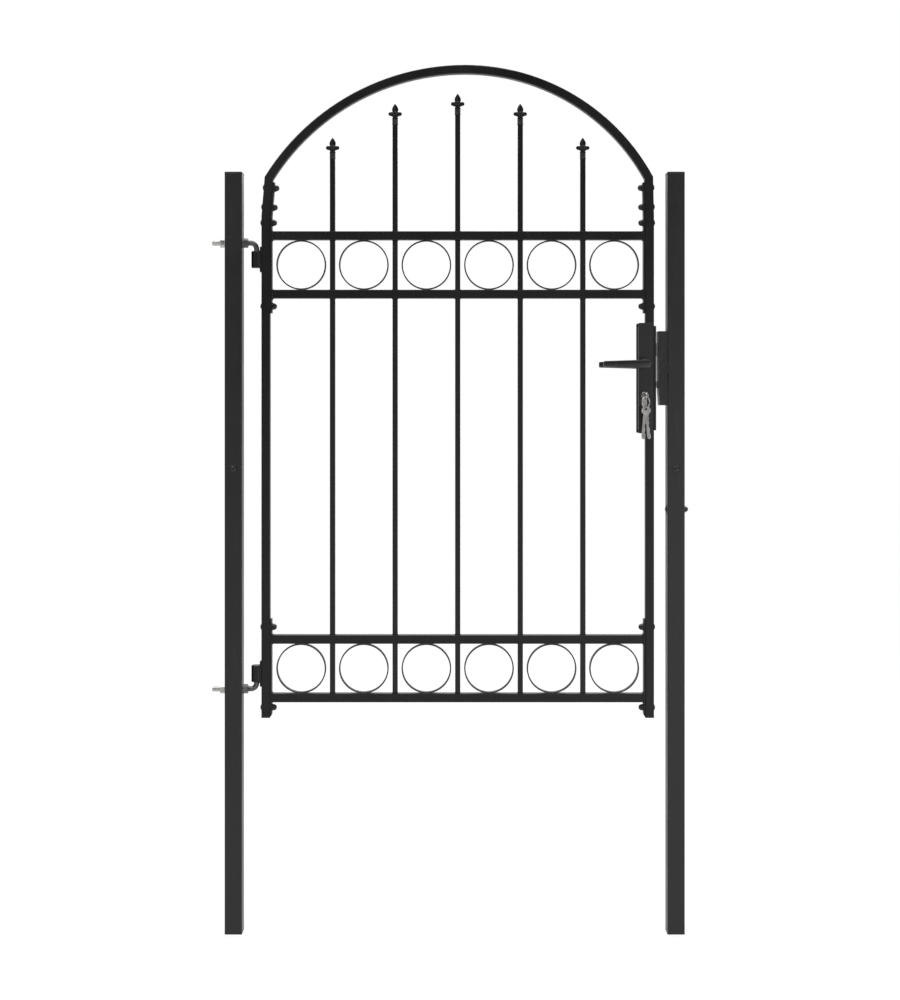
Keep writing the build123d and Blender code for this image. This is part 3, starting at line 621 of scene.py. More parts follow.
    def thread(self, start: Vector, length: float, radius: float, pitch: float) -> None:
        """Winds a screw thread along X with a spun tooth.

        Args:
            start: Centre of the rod where the thread starts.
            length: Length of the threaded part, along X.
            radius: Radius over the thread's crest.
            pitch: Distance from one turn to the next.
        """
        turns = math.floor(length / pitch) - 1
        steps_a_turn = 20
        root = radius - pitch * 0.5
        tooth = [
            self.bm.verts.new(start + Vector((along * pitch, 0.0, high)))
            for along, high in ((0.03, root), (0.44, radius), (0.56, radius), (0.97, root))
        ]
        edges = [self.bm.edges.new(ends) for ends in zip(tooth, tooth[1:])]
        bmesh.ops.spin(
            self.bm, geom=tooth + edges, cent=start, axis=X_WAY, dvec=X_WAY * pitch / steps_a_turn,
            angle=math.tau * turns, steps=steps_a_turn * turns, use_merge=False, use_duplicate=False,
        )

    def piece(self, name: str, smooth: bool = True, crease: float = 40.0) -> bpy.types.Object:
        """Makes an object of the finished mesh, in place and unturned.

        Args:
            name: Name of the piece.
            smooth: Whether its faces are shaded smooth.
            crease: Angle in degrees from which an edge stays sharp.

        Returns:
            The object.
        """
        bmesh.ops.remove_doubles(self.bm, verts=self.bm.verts, dist=1e-6)
        bmesh.ops.recalc_face_normals(self.bm, faces=self.bm.faces)
        for face in self.bm.faces:
            face.smooth = smooth
        for edge in self.bm.edges:
            edge.smooth = edge.calc_face_angle(0.0) < math.radians(crease)
        mesh = bpy.data.meshes.new(name)
        self.bm.to_mesh(mesh)
        self.bm.free()
        made = bpy.data.objects.new(name, mesh)
        bpy.context.scene.collection.objects.link(made)
        return made


@dataclass
class SubAssembly:
    """A group of CAD nodes and the pieces that finish them."""

    nodes: dict[str, bpy.types.Object]
    shelf: FinishShelf

    def dress(self, look: Look, *names: str) -> None:
        """Gives CAD nodes their finish.

        Args:
            look: The finish.
            names: The nodes.
        """
        for name in names:
            mesh = self.nodes[name].data
            mesh.materials.clear()
            mesh.materials.append(self.shelf.get(look))
            log.info("%s wears %s", name, look.value.name)

    def add(
        self, name: str, forge: Forge, look: Look, replaced: str = "", body: Body = Body.LEAF, crease: float = 40.0
    ) -> None:
        """Makes a new piece and gives it its finish and the body that it moves with.

        Args:
            name: Name of the piece.
            forge: Its finished mesh.
            look: Its finish.
            replaced: The CAD node that it stands for, if any.
            body: Its body.
            crease: Angle in degrees from which an edge stays sharp.
        """
        made = forge.piece(name, crease=crease)
        made.data.materials.append(self.shelf.get(look))
        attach(made, body.value)
        if replaced:
            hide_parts(replaced)
        log.info("%s rides on %s", name, body.value)

    def solids(self, name: str) -> list[list[Vector]]:
        """Splits a CAD node into its separate solids.

        Args:
            name: The node.

        Returns:
            The corners of each solid.
        """
        bm = bmesh.new()
        bm.from_mesh(self.nodes[name].data)
        bmesh.ops.remove_doubles(bm, verts=bm.verts, dist=1e-5)
        left = dict.fromkeys(bm.verts)
        found = []
        while left:
            front = [left.popitem()[0]]
            solid = list(front)
            while front:
                vert = front.pop()
                near = [edge.other_vert(vert) for edge in vert.link_edges]
                for other in near:
                    if other in left:
                        del left[other]
                        front.append(other)
                        solid.append(other)
            found.append([vert.co.copy() for vert in solid])
        bm.free()
        return found


# ---------------------------------------------------------------- posts


@dataclass
class Posts(SubAssembly):
    """The two posts with their caps, bolts and the latch keeper."""

    washer_profile: Profile = ((0.0, 9.5), (1.05, 9.5), (1.5, 9.0))
    weld_radius: float = 0.0022
    weld_half_length: float = 0.011
    weld_from_end: float = 0.025
    weld_inset: float = 0.001
    weld_sunk: float = 0.0006
    lip_out: float = 0.0006
    lip_height: float = 0.0014
    lip_corner: float = 0.0031

    def build(self) -> None:
        """Dresses the posts and adds cap lips, the keeper's welds and the bolts' washers."""
        self.dress(Look.POST, "post_hinge", "post_latch", "lock_keeper")
        self.dress(Look.CAP, "cap_hinge_post", "cap_latch_post")
        self.dress(Look.BOLT, "post_bolts")
        self._keeper_welds()
        self._cap_lips()
        self._washers()

    def _keeper_welds(self) -> None:
        """Welds the keeper's back edges to the post."""
        low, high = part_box("lock_keeper")
        half = Z_WAY * self.weld_half_length
        forge = Forge()
        for y in inside(low.y, high.y, self.weld_inset):
            for z in ((low.z + high.z) / 2, *inside(low.z, high.z, self.weld_from_end)):
                weld = Vector((high.x - self.weld_sunk, y, z))
                forge.bead(weld - half, weld + half, self.weld_radius)
        self.add("keeper_welds", forge, Look.POST, body=Body.POSTS)

    def _cap_lips(self) -> None:
        """Lays the thin lip of each cap round the mouth of its post."""
        forge = Forge()
        out = Vector((self.lip_out, self.lip_out, 0.0))
        for post in ("post_hinge", "post_latch"):
            low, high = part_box(post)
            foot = Vector((low.x, low.y, high.z)) - out
            top = high + out + Z_WAY * self.lip_height
            forge.plug(foot, top, self.lip_corner, self.lip_out * 0.9)
        self.add("cap_lips", forge, Look.CAP, body=Body.POSTS)

    def _washers(self) -> None:
        """Puts a washer under both ends of each bolt through a post."""
        forge = Forge()
        posts = [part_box("post_hinge"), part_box("post_latch")]
        for corners in self.solids("post_bolts"):
            low, high = extent(corners)
            bolt = (low + high) / 2
            way = X_WAY if high.x - low.x > high.y - low.y else Y_WAY
            post = min(posts, key=lambda box: abs(middle(box).x - bolt.x))
            centre = Vector((*middle(post).xy, bolt.z))
            for side in BOTH_WAYS:
                face = centre + way * side * (post[1].x - post[0].x) / 2
                forge.turned(self.washer_profile, face, way * side, sides=28)
        self.add("post_washers", forge, Look.BOLT, body=Body.POSTS)


# ---------------------------------------------------------------- hinges


@dataclass
class HookHinges(SubAssembly):
    """Two threaded hooks through the hinge post, their nuts, and the eyes on the leaf."""

    thread_radius: float = 0.00635
    thread_pitch: float = 0.00175
    thread_from_end: float = 0.002
    thread_past_nut: float = 0.008
    flange_thickness: float = 0.0035
    eye_radius: float = 0.012
    weld_radius: float = 0.0022
    weld_half_length: float = 0.017
    weld_out: float = 0.0004
    flange_weld_radius: float = 0.00154
    flange_weld_y: float = 0.0099
    flange_weld_sunk: float = 0.0005
    flange_weld_reach: tuple[float, float] = (0.005, 0.017)

    def build(self) -> None:
        """Dresses the hinges and adds threads and eye welds."""
        self.dress(Look.ZINC, "hinge_hook_top", "hinge_hook_bottom", "hinge_nuts_top", "hinge_nuts_bottom")
        self.dress(Look.FRAME, "hinge_eye_top", "hinge_eye_bottom")
        for level in ("top", "bottom"):
            self._threads(level)
            self._eye_welds(level)

    def _threads(self, level: str) -> None:
        """Cuts the thread on a hook's two free lengths.

        Args:
            level: top or bottom.
        """
        hook_low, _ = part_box(f"hinge_hook_{level}")
        nut_low, nut_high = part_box(f"hinge_nuts_{level}")
        height = middle((nut_low, nut_high)).z
        tail = hook_low.x + self.thread_from_end
        forge = Forge()
        for start, length in ((tail, nut_low.x - tail), (nut_high.x, self.thread_past_nut)):
            forge.thread(Vector((start, 0.0, height)), length, self.thread_radius, self.thread_pitch)
        self.add(f"hook_thread_{level}", forge, Look.ZINC, body=Body.POSTS)

    def _eye_welds(self, level: str) -> None:
        """Welds an eye's barrel to its flange and the flange to the stile.

        Args:
            level: top or bottom.
        """
        low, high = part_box(f"hinge_eye_{level}")
        face = high.x - self.flange_thickness
        across = math.sqrt(self.eye_radius**2 - (face - low.x - self.eye_radius) ** 2)
        near, far = self.flange_weld_reach
        height = middle((low, high)).z
        half = self.weld_half_length
        barrel = (face, across + self.weld_out, height - half, height + half, self.weld_radius)
        edge = (high.x - self.flange_weld_sunk, self.flange_weld_y)
        foot = (*edge, low.z + near, low.z + far, self.flange_weld_radius)
        head = (*edge, high.z - far, high.z - near, self.flange_weld_radius)
        forge = Forge()
        for side in Side:
            for x, y, start, end, radius in (barrel, foot, head):
                forge.bead(Vector((x, side.value * y, start)), Vector((x, side.value * y, end)), radius)
        self.add(f"eye_weld_{level}", forge, Look.FRAME)


# ---------------------------------------------------------------- leaf


@dataclass
class LeafFrame(SubAssembly):
    """Stiles, arch, side strips and rails, with welds, foot plugs and dome nuts."""

    weld_radius: float = 0.0024
    side_weld_radius: float = 0.00168
    weld_sunk: float = 0.0008
    weld_inset: float = 0.001
    plug_drop: float = 0.004
    plug_overlap: float = 0.0002
    plug_out: float = 0.0004
    plug_corner: float = 0.0026
    plug_edge: float = 0.0014
    bolt_end_reach: float = 0.0004
    nut_profile: Profile = (
        (0.7, 0.6), (0.5, 2.1), (-0.1, 3.7), (-1.3, 5.3), (-2.9, 6.4), (-4.9, 7.0), (-6.6, 7.1), (-7.0, 6.2)
    )
    washer_profile: Profile = ((-8.6, 7.8), (-8.9, 8.7), (-10.1, 8.9), (-10.3, 8.9))

    def build(self) -> None:
        """Dresses the frame, welds the rails' ends, plugs the feet and rounds the nuts."""
        self.dress(Look.FRAME, "stile_hinge", "stile_latch_upper", "stile_latch_lower", "arch")
        self.dress(Look.FRAME, "strip_upper_hinge", "strip_upper_latch", "strip_lower_hinge", "strip_lower_latch")
        self.dress(Look.FRAME, *RAILS)
        self.dress(Look.BOLT, "frame_bolts_hinge", "frame_bolts_latch")
        self._rail_welds()
        self._foot_plugs()
        self._dome_nuts("hinge", 1.0)
        self._dome_nuts("latch", -1.0)

    def _rail_welds(self) -> None:
        """Runs a bead round the four sides of each rail's ends."""
        forge = Forge()
        for rail in RAILS:
            low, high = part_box(rail)
            across = inside(low.y, high.y, self.weld_inset)
            upright = inside(low.z, high.z, self.weld_inset)
            for x in inside(low.x, high.x, self.weld_sunk):
                for z in (low.z, high.z):
                    forge.bead(*(Vector((x, y, z)) for y in across), self.weld_radius)
                for y in (low.y, high.y):
                    forge.bead(*(Vector((x, y, z)) for z in upright), self.side_weld_radius)
        self.add("rail_end_welds", forge, Look.FRAME)

    def _foot_plugs(self) -> None:
        """Closes the feet of both stiles with a plug that has a domed edge."""
        forge = Forge()
        out = Vector((self.plug_out, self.plug_out, 0.0))
        for stile in ("stile_hinge", "stile_latch_lower"):
            low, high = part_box(stile)
            foot = low - out - Z_WAY * self.plug_drop
            top = Vector((high.x, high.y, low.z)) + out + Z_WAY * self.plug_overlap
            forge.plug(foot, top, self.plug_corner, self.plug_edge)
        self.add("foot_plugs", forge, Look.CAP)

    def _dome_nuts(self, side: str, inward: float) -> None:
        """Rounds the dome nuts of one side and lays a washer under each.

        Args:
            side: Side of the leaf, hinge or latch.
            inward: Sign of X from the bolt's head to its nut.
        """
        forge = Forge()
        for corners in self.solids(f"frame_bolts_{side}"):
            ends = [max(corners, key=lambda corner: corner.x * way) for way in (inward, -inward)]
            caps = [[corner for corner in corners if (corner - end).length < self.bolt_end_reach] for end in ends]
            tip, head = (sum(near, Vector()) / len(near) for near in caps)
            for profile in (self.nut_profile, self.washer_profile):
                forge.turned(profile, tip, (tip - head).normalized())
        self.add(f"dome_nuts_{side}", forge, Look.BOLT)


@dataclass
class BarsAndRings(SubAssembly):
    """Upright bars with spearheads, and the two rows of rings."""

    bar_count: int = 5
    weld_radius: float = 0.0017
    weld_inset: float = 0.001
    tack_radius: float = 0.0014
    tack_spread: float = 0.0042
    tack_sunk: float = 0.0004
    collar_foot: Profile = ((0.0, 6.2), (0.6, 6.9), (3.2, 6.9), (3.9, 6.2), (4.2, 5.2))
    collar_core: Profile = ((3.8, 4.9), (13.2, 4.9))
    collar_head: Profile = (
        (12.8, 5.2), (13.1, 6.3), (13.8, 6.9), (16.0, 6.9), (16.7, 6.2), (17.2, 5.6),
        (19.4, 6.7), (21.8, 8.0), (23.6, 8.4), (25.2, 8.0), (26.8, 6.6), (28.4, 4.6),
    )
    strand_count: int = 6
    strand_radius: float = 1.55
    strand_turn: float = 0.42
    strand_foot: float = 4.0
    strand_top: float = 13.0
    strand_out: float = 5.25
    strand_steps: int = 10
    petal_run: Run = (
        (1.5, 24.4, 6.6), (4.5, 24.4, 6.2), (7.0, 24.8, 5.4), (9.2, 25.2, 4.8), (11.0, 25.5, 4.6),
        (12.6, 25.5, 4.4), (14.0, 25.5, 3.6), (15.1, 25.4, 2.3), (15.7, 25.3, 0.9),
    )
    petal_flatness: float = 0.76
    blade_run: Run = (
        (25.0, 3.6, 2.8), (28.0, 5.2, 3.2), (31.0, 6.7, 3.6), (34.0, 7.5, 3.9), (36.5, 7.5, 3.9),
        (39.5, 6.7, 3.6), (42.5, 5.2, 3.0), (45.2, 3.5, 2.3), (47.4, 1.9, 1.4), (48.8, 0.7, 0.7),
    )
    blade_edge: float = 0.0005

    def build(self) -> None:
        """Dresses bars and rings, adds their welds and casts the spearheads."""
        numbers = range(1, self.bar_count + 1)
        self.dress(Look.BAR, *(f"bar_{i}" for i in numbers))
        self.dress(Look.RING, "rings_upper", "rings_lower")
        self.dress(Look.CAST, *(f"spearhead_{i}" for i in numbers))
        self._crossing_welds(numbers)
        self._ring_tacks()
        for number in numbers:
            self._spearhead(number)
        self._ropes(numbers)

    def _crossing_welds(self, numbers: Iterable[int]) -> None:
        """Tacks each bar on both sides where it passes a rail.

        Args:
            numbers: Numbers of the bars.
        """
        forge = Forge()
        heights = [corner.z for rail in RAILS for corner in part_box(rail)]
        for number in numbers:
            low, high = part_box(f"bar_{number}")
            across = inside(low.y, high.y, self.weld_inset)
            for z in heights:
                if low.z < z < high.z:
                    for x in (low.x, high.x):
                        forge.bead(*(Vector((x, y, z)) for y in across), self.weld_radius, sides=6)
        self.add("bar_crossing_welds", forge, Look.BAR)

    def _ring_tacks(self) -> None:
        """Tacks every ring to the rails over and under it, on both sides of where they touch."""
        forge = Forge()
        for corners in (*self.solids("rings_upper"), *self.solids("rings_lower")):
            low, high = extent(corners)
            touch = (low.x + high.x) / 2
            deep = high.y - self.weld_inset
            for z in inside(low.z, high.z, self.tack_sunk):
                for x in inside(touch, touch, self.tack_spread):
                    forge.bead(Vector((x, -deep, z)), Vector((x, deep, z)), self.tack_radius, sides=6)
        self.add("ring_tacks", forge, Look.FRAME)

    @staticmethod
    def _foot(number: int) -> Vector:
        """Finds the foot of a bar's spearhead."""
        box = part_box(f"spearhead_{number}")
        return Vector((*middle(box).xy, box[0].z))

    def _spearhead(self, number: int) -> None:
        """Casts one spearhead: core, cup, four rounded petals and a ridged blade.

        Args:
            number: Number of its bar.
        """
        foot = self._foot(number)
        forge = Forge()
        for profile in (self.collar_core, self.collar_head):
            forge.turned(profile, foot)
        petal = [
            Forge.station(Vector((x, 0.0, z)) * MM, X_WAY, size * self.petal_flatness * MM, size * MM)
            for x, z, size in self.petal_run
        ]
        for quarter in range(4):
            turn = Matrix.Translation(foot) @ Matrix.Rotation(quarter * math.pi / 2, 4, "Z")
            forge.sweep(14, [turn @ station for station in petal])
        blade = [Forge.station(foot + Z_WAY * z * MM, Z_WAY, w * MM, d * MM) for z, w, d in self.blade_run]
        ridges = [edge for edge in Forge.edges_of(forge.sweep(4, blade)) if Forge.rise(edge) > MM]
        forge.soften(ridges, self.blade_edge, 2)
        self.add(f"spear_cast_{number}", forge, Look.CAST, f"spearhead_{number}", crease=50.0)

    def _ropes(self, numbers: Iterable[int]) -> None:
        """Winds the roped collars under all the spearheads.

        Args:
            numbers: Numbers of the bars.
        """
        forge = Forge()
        for number in numbers:
            foot = self._foot(number)
            forge.turned(self.collar_foot, foot)
            for strand in range(self.strand_count):
                forge.sweep(8, self._strand(foot, strand / self.strand_count))
        self.add("spear_ropes", forge, Look.ROPE, crease=50.0)

    def _strand(self, foot: Vector, share: float) -> list[Matrix]:
        """Winds one strand of the roped collar.

        Args:
            foot: Foot of the spearhead.
            share: Where the strand starts, as a part of the full turn.

        Returns:
            Placings of the strand's rings.
        """
        height = self.strand_top - self.strand_foot
        size = self.strand_radius * MM
        stations = []
        for step in range(self.strand_steps + 1):
            part = step / self.strand_steps
            angle = math.tau * (share + self.strand_turn * part)
            out = Vector((math.cos(angle), math.sin(angle), 0.0))
            round_way = Z_WAY.cross(out) * math.tau * self.strand_turn * self.strand_out
            place = foot + (out * self.strand_out + Z_WAY * (self.strand_foot + height * part)) * MM
            stations.append(Forge.station(place, (round_way + Z_WAY * height).normalized(), size, size))
        return stations


# ---------------------------------------------------------------- lock


@dataclass
class LatchLock(SubAssembly):
    """Lock case, plates, levers, bolts and keys."""

    screw_profile: Profile = ((0.0, 4.2), (1.0, 4.2), (1.8, 3.6), (2.2, 2.6), (2.2, 1.9), (0.9, 1.7))
    forend_screw_height: float = 0.4
    forend_screw_width: float = 0.85
    screw_inset: float = 0.012
    rose_profile: Profile = (
        (0.0, 12.6), (1.6, 12.6), (2.4, 12.1), (3.0, 11.2), (4.2, 10.6), (5.0, 9.6),
        (5.8, 8.6), (8.0, 8.2), (30.0, 8.2),
    )
    neck_in_grip: float = 6.0
    lever_root_height: float = 0.0205
    lever_tip_height: float = 0.0136
    lever_root_depth: float = 0.0155
    lever_tip_depth: float = 0.0115
    lever_edge: float = 0.0026
    lever_end_round: float = 0.0085
    lever_hub_out: float = 0.0105
    rim_radius: float = 0.0066
    rim_wire: float = 0.0004
    bow_radius: float = 0.0092
    bow_hole: float = 0.0033
    bow_hole_edge: float = 0.0026
    blade_from_bow: float = 0.8
    key_thickness: float = 0.0023
    blade_thickness: float = 0.0018
    blade_width: float = 0.0086
    nose_taper: float = 0.4
    spare_length: float = 0.0655
    spare_hangs: Profile = ((-7.0, -4.6), (9.5, 5.4))
    bitting: tuple[float, ...] = (0.0, 1.2, 2.6, 1.0, 2.2, 3.0, 1.4, 2.4, 0.8, 1.8)
    ring_radius: float = 0.0133
    ring_wire: float = 0.00085
    ring_coil_gap: float = 0.95
    ring_play: float = 0.0002

    def build(self) -> None:
        """Dresses the lock and adds levers, screws, keyway rims, keys and ring."""
        self.dress(Look.FRAME, "lock_case")
        self.dress(Look.LEVER, "lock_plate_front", "lock_plate_back", "lever_front", "lever_back")
        self.dress(Look.LOCK, "lever_spindle", "lock_forend", "latch_bolt", "dead_bolt")
        self.dress(Look.NICKEL, "lock_cylinder", "key", "key_ring", "spare_keys")
        self._lever("lever_front", Side.FRONT)
        self._lever("lever_back", Side.BACK)
        flat = [(way * self.forend_screw_height, size * self.forend_screw_width) for way, size in self.screw_profile]
        self._screws("lock_plate_back", Y_WAY, self.screw_profile, "plate_screws", Look.BOLT)
        self._screws("lock_forend", X_WAY, flat, "forend_screws", Look.LOCK)
        self._keyway_rims()
        self._key()
        self._key_ring()
        self._spare_keys()

    def _lever(self, name: str, side: Side) -> None:
        """Casts a lever: stepped rose, round neck and a tapered grip with soft edges.

        Args:
            name: The node that it stands for.
            side: Side of the leaf.
        """
        low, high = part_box(name)
        axis = middle(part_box("lever_spindle"))
        foot, face = (low.y, high.y) if side is Side.BACK else (high.y, low.y)
        forge = Forge()
        reach = abs(face - foot) / MM - self.neck_in_grip
        neck = [(way, size) for way, size in self.rose_profile if way < reach]
        neck.append((reach, neck[-1][1]))
        forge.turned(neck, Vector((axis.x, foot, axis.z)), Y_WAY * side.value, sides=36)
        depths = sorted((face, face - side.value * self.lever_root_depth))
        half = self.lever_root_height / 2
        verts = forge.block(
            Vector((low.x, depths[0], axis.z - half)),
            Vector((axis.x + self.lever_hub_out, depths[1], axis.z + half)),
        )
        halfway = (low.x + axis.x + self.lever_hub_out) / 2
        tip = [vert for vert in verts if vert.co.x < halfway]
        taper = (1.0, self.lever_tip_depth / self.lever_root_depth, self.lever_tip_height / self.lever_root_height)
        bmesh.ops.scale(forge.bm, verts=tip, vec=taper, space=Matrix.Translation(-Vector((low.x, face, axis.z))))
        hub_end = [
            edge
            for edge in Forge.edges_of(verts)
            if all(vert.co.x > halfway for vert in edge.verts) and Forge.rise(edge) < MM
        ]
        rounded = forge.soften(hub_end, self.lever_end_round, 8)
        grip = [vert for vert in verts if vert.is_valid] + list(rounded)
        sharp = [edge for edge in Forge.edges_of(grip) if edge.calc_face_angle(0.0) > math.radians(40.0)]
        forge.soften(sharp, self.lever_edge, 4, clamp=True)
        self.add(f"{name}_cast", forge, Look.LEVER, name, Body.HANDLE, crease=35.0)

    def _screws(self, carrier: str, way: Vector, profile: Profile, name: str, look: Look) -> None:
        """Puts two screws in a plate, near its ends.

        Args:
            carrier: The node that they are in.
            way: Where their heads look.
            profile: Profile of their heads.
            name: Name of the piece.
            look: Its finish.
        """
        low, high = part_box(carrier)
        face = middle((low, high)) + (high - low) / 2 * way
        forge = Forge()
        for z in inside(low.z, high.z, self.screw_inset):
            forge.turned(profile, Vector((*face.xy, z)), way)
        self.add(name, forge, look, crease=30.0)

    def _keyway_rims(self) -> None:
        """Rings the keyways on both faces of the cylinder."""
        low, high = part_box("lock_cylinder")
        forge = Forge()
        for y in (low.y, high.y):
            centre = Vector(((low.x + high.x) / 2, y, high.z - (high.x - low.x) / 2))
            forge.hoop(centre, Y_WAY, self.rim_radius, self.rim_wire)
        self.add("cylinder_rims", forge, Look.LOCK)

    @property
    def _hole_y(self) -> float:
        """Where the hole lies above the centre of a key's bow."""
        return self.bow_radius - self.bow_hole - self.bow_hole_edge

    def _cut_key(self, forge: Forge, place: Matrix, length: float) -> None:
        """Stamps a flat key with a round holed bow and a cut blade.

        Args:
            forge: The mesh to add to.
            place: Its centre of bow, with the blade along -Y and the flat side along Z.
            length: Length from the bow's centre to the blade's tip.
        """
        flat = Matrix.Translation((0.0, 0.0, -self.key_thickness / 2))
        rim = forge.new_ring(self.bow_radius, 40, flat)
        hole = forge.new_ring(self.bow_hole, 40, flat @ Matrix.Translation((0.0, self._hole_y, 0.0)))
        bow = bmesh.ops.bridge_loops(forge.bm, edges=rim + hole)["faces"]
        blade = bmesh.ops.create_grid(forge.bm, x_segments=2, y_segments=len(self.bitting) + 1, size=0.5)["verts"]
        start = self.bow_radius * self.blade_from_bow
        run = length - start
        sunk = Matrix.Translation((0.0, -start - run / 2, -self.blade_thickness / 2))
        bmesh.ops.transform(forge.bm, matrix=sunk @ Matrix.Diagonal((self.blade_width, run, 1.0, 1.0)), verts=blade)
        near_edge = self.blade_width / 2 - MM * 0.1
        cut_side = sorted((vert for vert in blade if vert.co.x > near_edge), key=lambda vert: vert.co.y)
        for vert, depth in zip(cut_side[1:], self.bitting):
            bmesh.ops.translate(forge.bm, verts=[vert], vec=X_WAY * -depth * MM)
        back = min((vert for vert in blade if vert.co.x < -near_edge), key=lambda vert: vert.co.y)
        for vert in (cut_side[0], back):
            bmesh.ops.translate(forge.bm, verts=[vert], vec=X_WAY * -self.nose_taper * vert.co.x)
        shank = list(dict.fromkeys(face for vert in blade for face in vert.link_faces))
        whole = []
        for faces, thick in ((bow, self.key_thickness), (shank, self.blade_thickness)):
            whole += [vert for face in faces for vert in face.verts]
            solid = bmesh.ops.extrude_face_region(forge.bm, geom=faces, use_keep_orig=True)["geom"]
            top = [item for item in solid if isinstance(item, BMVert)]
            bmesh.ops.translate(forge.bm, verts=top, vec=Z_WAY * thick)
            whole += top
        bmesh.ops.transform(forge.bm, matrix=place, verts=list(dict.fromkeys(whole)))

    def _key(self) -> None:
        """Makes the key in the cylinder, upright in its keyway."""
        low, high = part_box("key")
        bow = middle((low, high))
        bow.y = low.y + self.bow_radius
        turn = Matrix((-Z_WAY, -Y_WAY, -X_WAY)).transposed().to_4x4()
        forge = Forge()
        self._cut_key(forge, Matrix.Translation(bow) @ turn, high.y - bow.y)
        self.add("key_cut", forge, Look.NICKEL, "key", crease=30.0)

    def _ring_frame(self) -> tuple[Vector, Vector]:
        """Finds where the key ring hangs.

        Returns:
            The ring's centre and the direction of its wire at its lowest point.
        """
        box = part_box("key_ring")
        hole_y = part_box("key")[0].y + self.bow_hole + self.bow_hole_edge
        centre = Vector((middle(box).x, hole_y, box[1].z - self.ring_radius - self.ring_wire))
        return centre, (X_WAY + Y_WAY).normalized()

    def _key_ring(self) -> None:
        """Coils the split ring, two turns of round wire side by side."""
        centre, way = self._ring_frame()
        normal = way.cross(Z_WAY)
        forge = Forge()
        for side in BOTH_WAYS:
            turn = centre + normal * side * self.ring_wire * self.ring_coil_gap
            forge.hoop(turn, normal, self.ring_radius, self.ring_wire)
        self.add("split_ring", forge, Look.NICKEL, "key_ring")

    def _spare_keys(self) -> None:
        """Hangs the two spare keys from the ring, slightly splayed."""
        centre, way = self._ring_frame()
        forge = Forge()
        for angle, swing in self.spare_hangs:
            spread = math.radians(angle)
            wire = centre + (way * math.sin(spread) - Z_WAY * math.cos(spread)) * self.ring_radius
            hole = wire - Z_WAY * (self.bow_hole - self.ring_wire - self.ring_play)
            turn = Matrix.Rotation(-math.radians(swing), 4, "Y") @ Matrix.Rotation(math.pi / 2, 4, "X")
            place = Matrix.Translation(hole) @ turn @ Matrix.Translation((0.0, -self._hole_y, 0.0))
            self._cut_key(forge, place, self.spare_length)
        self.add("spare_keys_cut", forge, Look.NICKEL, "spare_keys", crease=30.0)


# ---------------------------------------------------------------- studio


@dataclass(frozen=True)
class Lamp:
    """A soft square lamp: its name, place, side in metres and power in watts."""

    name: str
    place: tuple[float, float, float]
    size: float
    power: float


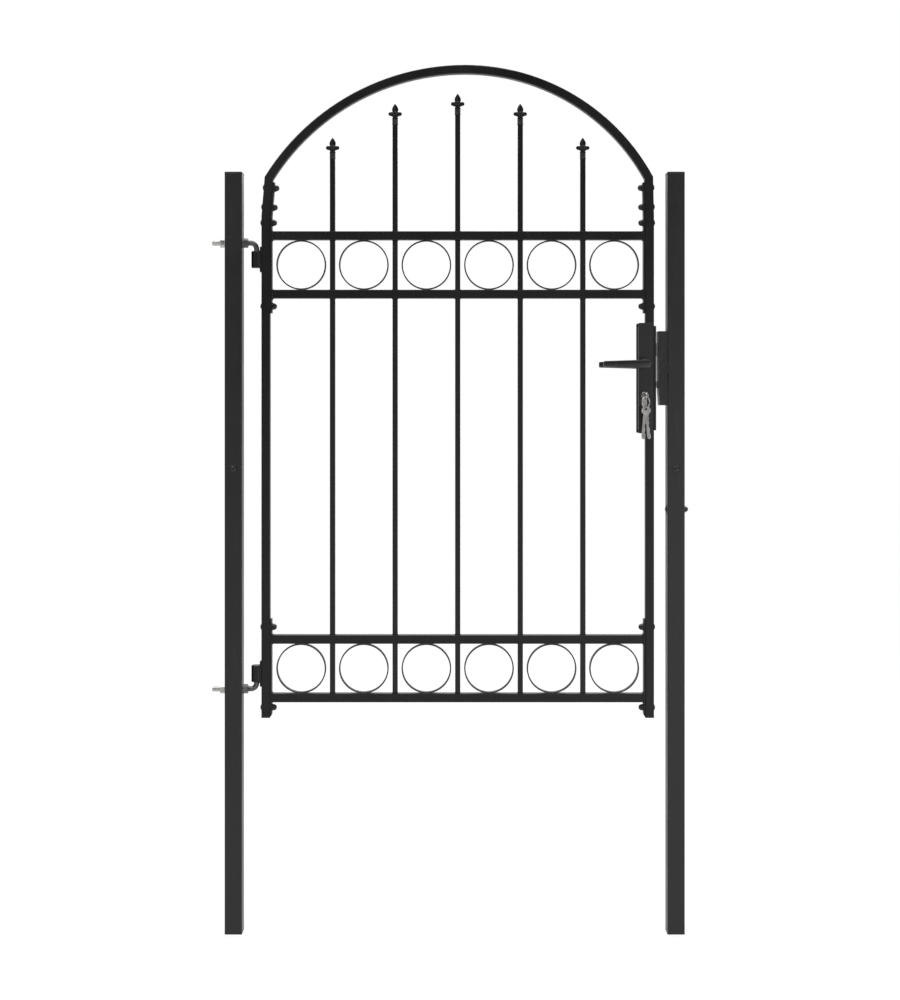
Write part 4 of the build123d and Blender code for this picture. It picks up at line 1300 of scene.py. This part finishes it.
@dataclass
class Studio:
    """White room, pale floor, three soft lamps and the camera of the photograph."""

    frame_height: float = 2.3
    frame_centre: tuple[float, float] = (0.4987, 0.9996)
    camera_x: float = 0.497
    camera_height: float = 1.25
    camera_distance: float = 3.7
    picture_plane: float = -0.02
    sensor: float = 36.0
    floor_size: float = 60.0
    floor_tone: float = 0.3
    floor_seen: float = 0.82
    floor_mirrored: float = 0.75
    room_light: float = 0.6
    mirror_front: float = 0.16
    mirror_behind: float = 0.72
    mirror_above: float = 2.0
    lamps: tuple[Lamp, ...] = (
        Lamp("key_lamp", (-1.9, -2.6, 3.2), 1.6, 24.0),
        Lamp("fill_lamp", (2.6, -2.6, 0.9), 1.6, 16.0),
        Lamp("rim_lamp", (0.9, 2.8, 3.0), 1.8, 30.0),
    )
    lit_point: tuple[float, float, float] = (0.5, 0.0, 1.1)

    def build(self) -> None:
        """Makes the world, floor, lamps and camera."""
        self._world()
        self._floor()
        for lamp in self.lamps:
            self._hang(lamp)
        self._camera()

    def _world(self) -> None:
        """Lights the room evenly, shows it white, and lets gloss mirror a backdrop that is bright behind."""
        world = bpy.data.worlds.new("white_room")
        bpy.context.scene.world = world
        world.use_nodes = True
        world.node_tree.nodes.clear()
        board = NodeBoard(world.node_tree)
        path = board.put("ShaderNodeLightPath").outputs
        place = board.put("ShaderNodeTexCoord").outputs["Generated"]
        behind = board.reach(board.part(place, "Y"), (-0.5, 0.6), (self.mirror_front, self.mirror_behind), True)
        above = board.reach(board.part(place, "Z"), (0.45, 0.9), (0.0, self.mirror_above), True)
        mirror = board.blend(path["Is Glossy Ray"], self.room_light, board.maths("ADD", behind, above))
        either = board.maths("MAXIMUM", path["Is Camera Ray"], path["Is Transmission Ray"])
        shown = board.put("ShaderNodeBackground", {"Color": WHITE, "Strength": board.blend(either, mirror, 1.0)})
        board.put("ShaderNodeOutputWorld", {"Surface": shown.outputs["Background"]})

    def _floor(self) -> None:
        """Lays a pale floor that turns white in the picture and keeps a soft shadow."""
        forge = Forge()
        bmesh.ops.create_grid(forge.bm, x_segments=1, y_segments=1, size=self.floor_size / 2)
        floor = forge.piece("studio_floor", smooth=False)
        material = bpy.data.materials.new("studio_floor")
        material.use_nodes = True
        material.node_tree.nodes.clear()
        board = NodeBoard(material.node_tree)
        path = board.put("ShaderNodeLightPath").outputs
        seen = board.maths("MULTIPLY", path["Is Camera Ray"], self.floor_seen)
        strength = board.maths("MULTIPLY_ADD", path["Is Glossy Ray"], self.floor_mirrored, seen)
        glow = board.put("ShaderNodeEmission", {"Color": WHITE, "Strength": strength})
        matte = board.put("ShaderNodeBsdfDiffuse", {"Color": (*(self.floor_tone,) * 3, 1.0)})
        both = board.put("ShaderNodeAddShader", {0: matte.outputs["BSDF"], 1: glow.outputs["Emission"]})
        board.put("ShaderNodeOutputMaterial", {"Surface": both.outputs["Shader"]})
        floor.data.materials.append(material)

    def _hang(self, lamp: Lamp) -> None:
        """Hangs a lamp that looks at the gate.

        Args:
            lamp: The lamp.
        """
        data = bpy.data.lights.new(lamp.name, "AREA")
        data.shape = "SQUARE"
        data.size = lamp.size
        data.energy = lamp.power
        made = bpy.data.objects.new(lamp.name, data)
        made.location = lamp.place
        made.rotation_euler = (Vector(self.lit_point) - Vector(lamp.place)).to_track_quat("-Z", "Y").to_euler()
        bpy.context.scene.collection.objects.link(made)

    def _camera(self) -> None:
        """Sets a level camera that looks along +Y."""
        data = bpy.data.cameras.new("gate_camera")
        data.sensor_fit = "VERTICAL"
        data.sensor_width = self.sensor
        data.sensor_height = self.sensor
        data.lens = self.sensor * self.camera_distance / self.frame_height
        data.shift_x = (self.frame_centre[0] - self.camera_x) / self.frame_height
        data.shift_y = (self.frame_centre[1] - self.camera_height) / self.frame_height
        camera = bpy.data.objects.new("gate_camera", data)
        camera.location = (self.camera_x, self.picture_plane - self.camera_distance, self.camera_height)
        camera.rotation_euler = (math.pi / 2, 0.0, 0.0)
        bpy.context.scene.collection.objects.link(camera)
        bpy.context.scene.camera = camera


def main() -> None:
    """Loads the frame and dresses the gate."""
    logging.basicConfig(level=logging.INFO, format="%(name)s: %(message)s")
    bpy.context.scene.view_settings.view_transform = "Standard"
    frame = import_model()
    shelf = FinishShelf()
    nodes = frame["nodes"]
    for assembly in (Posts, HookHinges, LeafFrame, BarsAndRings, LatchLock):
        assembly(nodes, shelf).build()
    Studio().build()


if __name__ == "__main__":
    main()
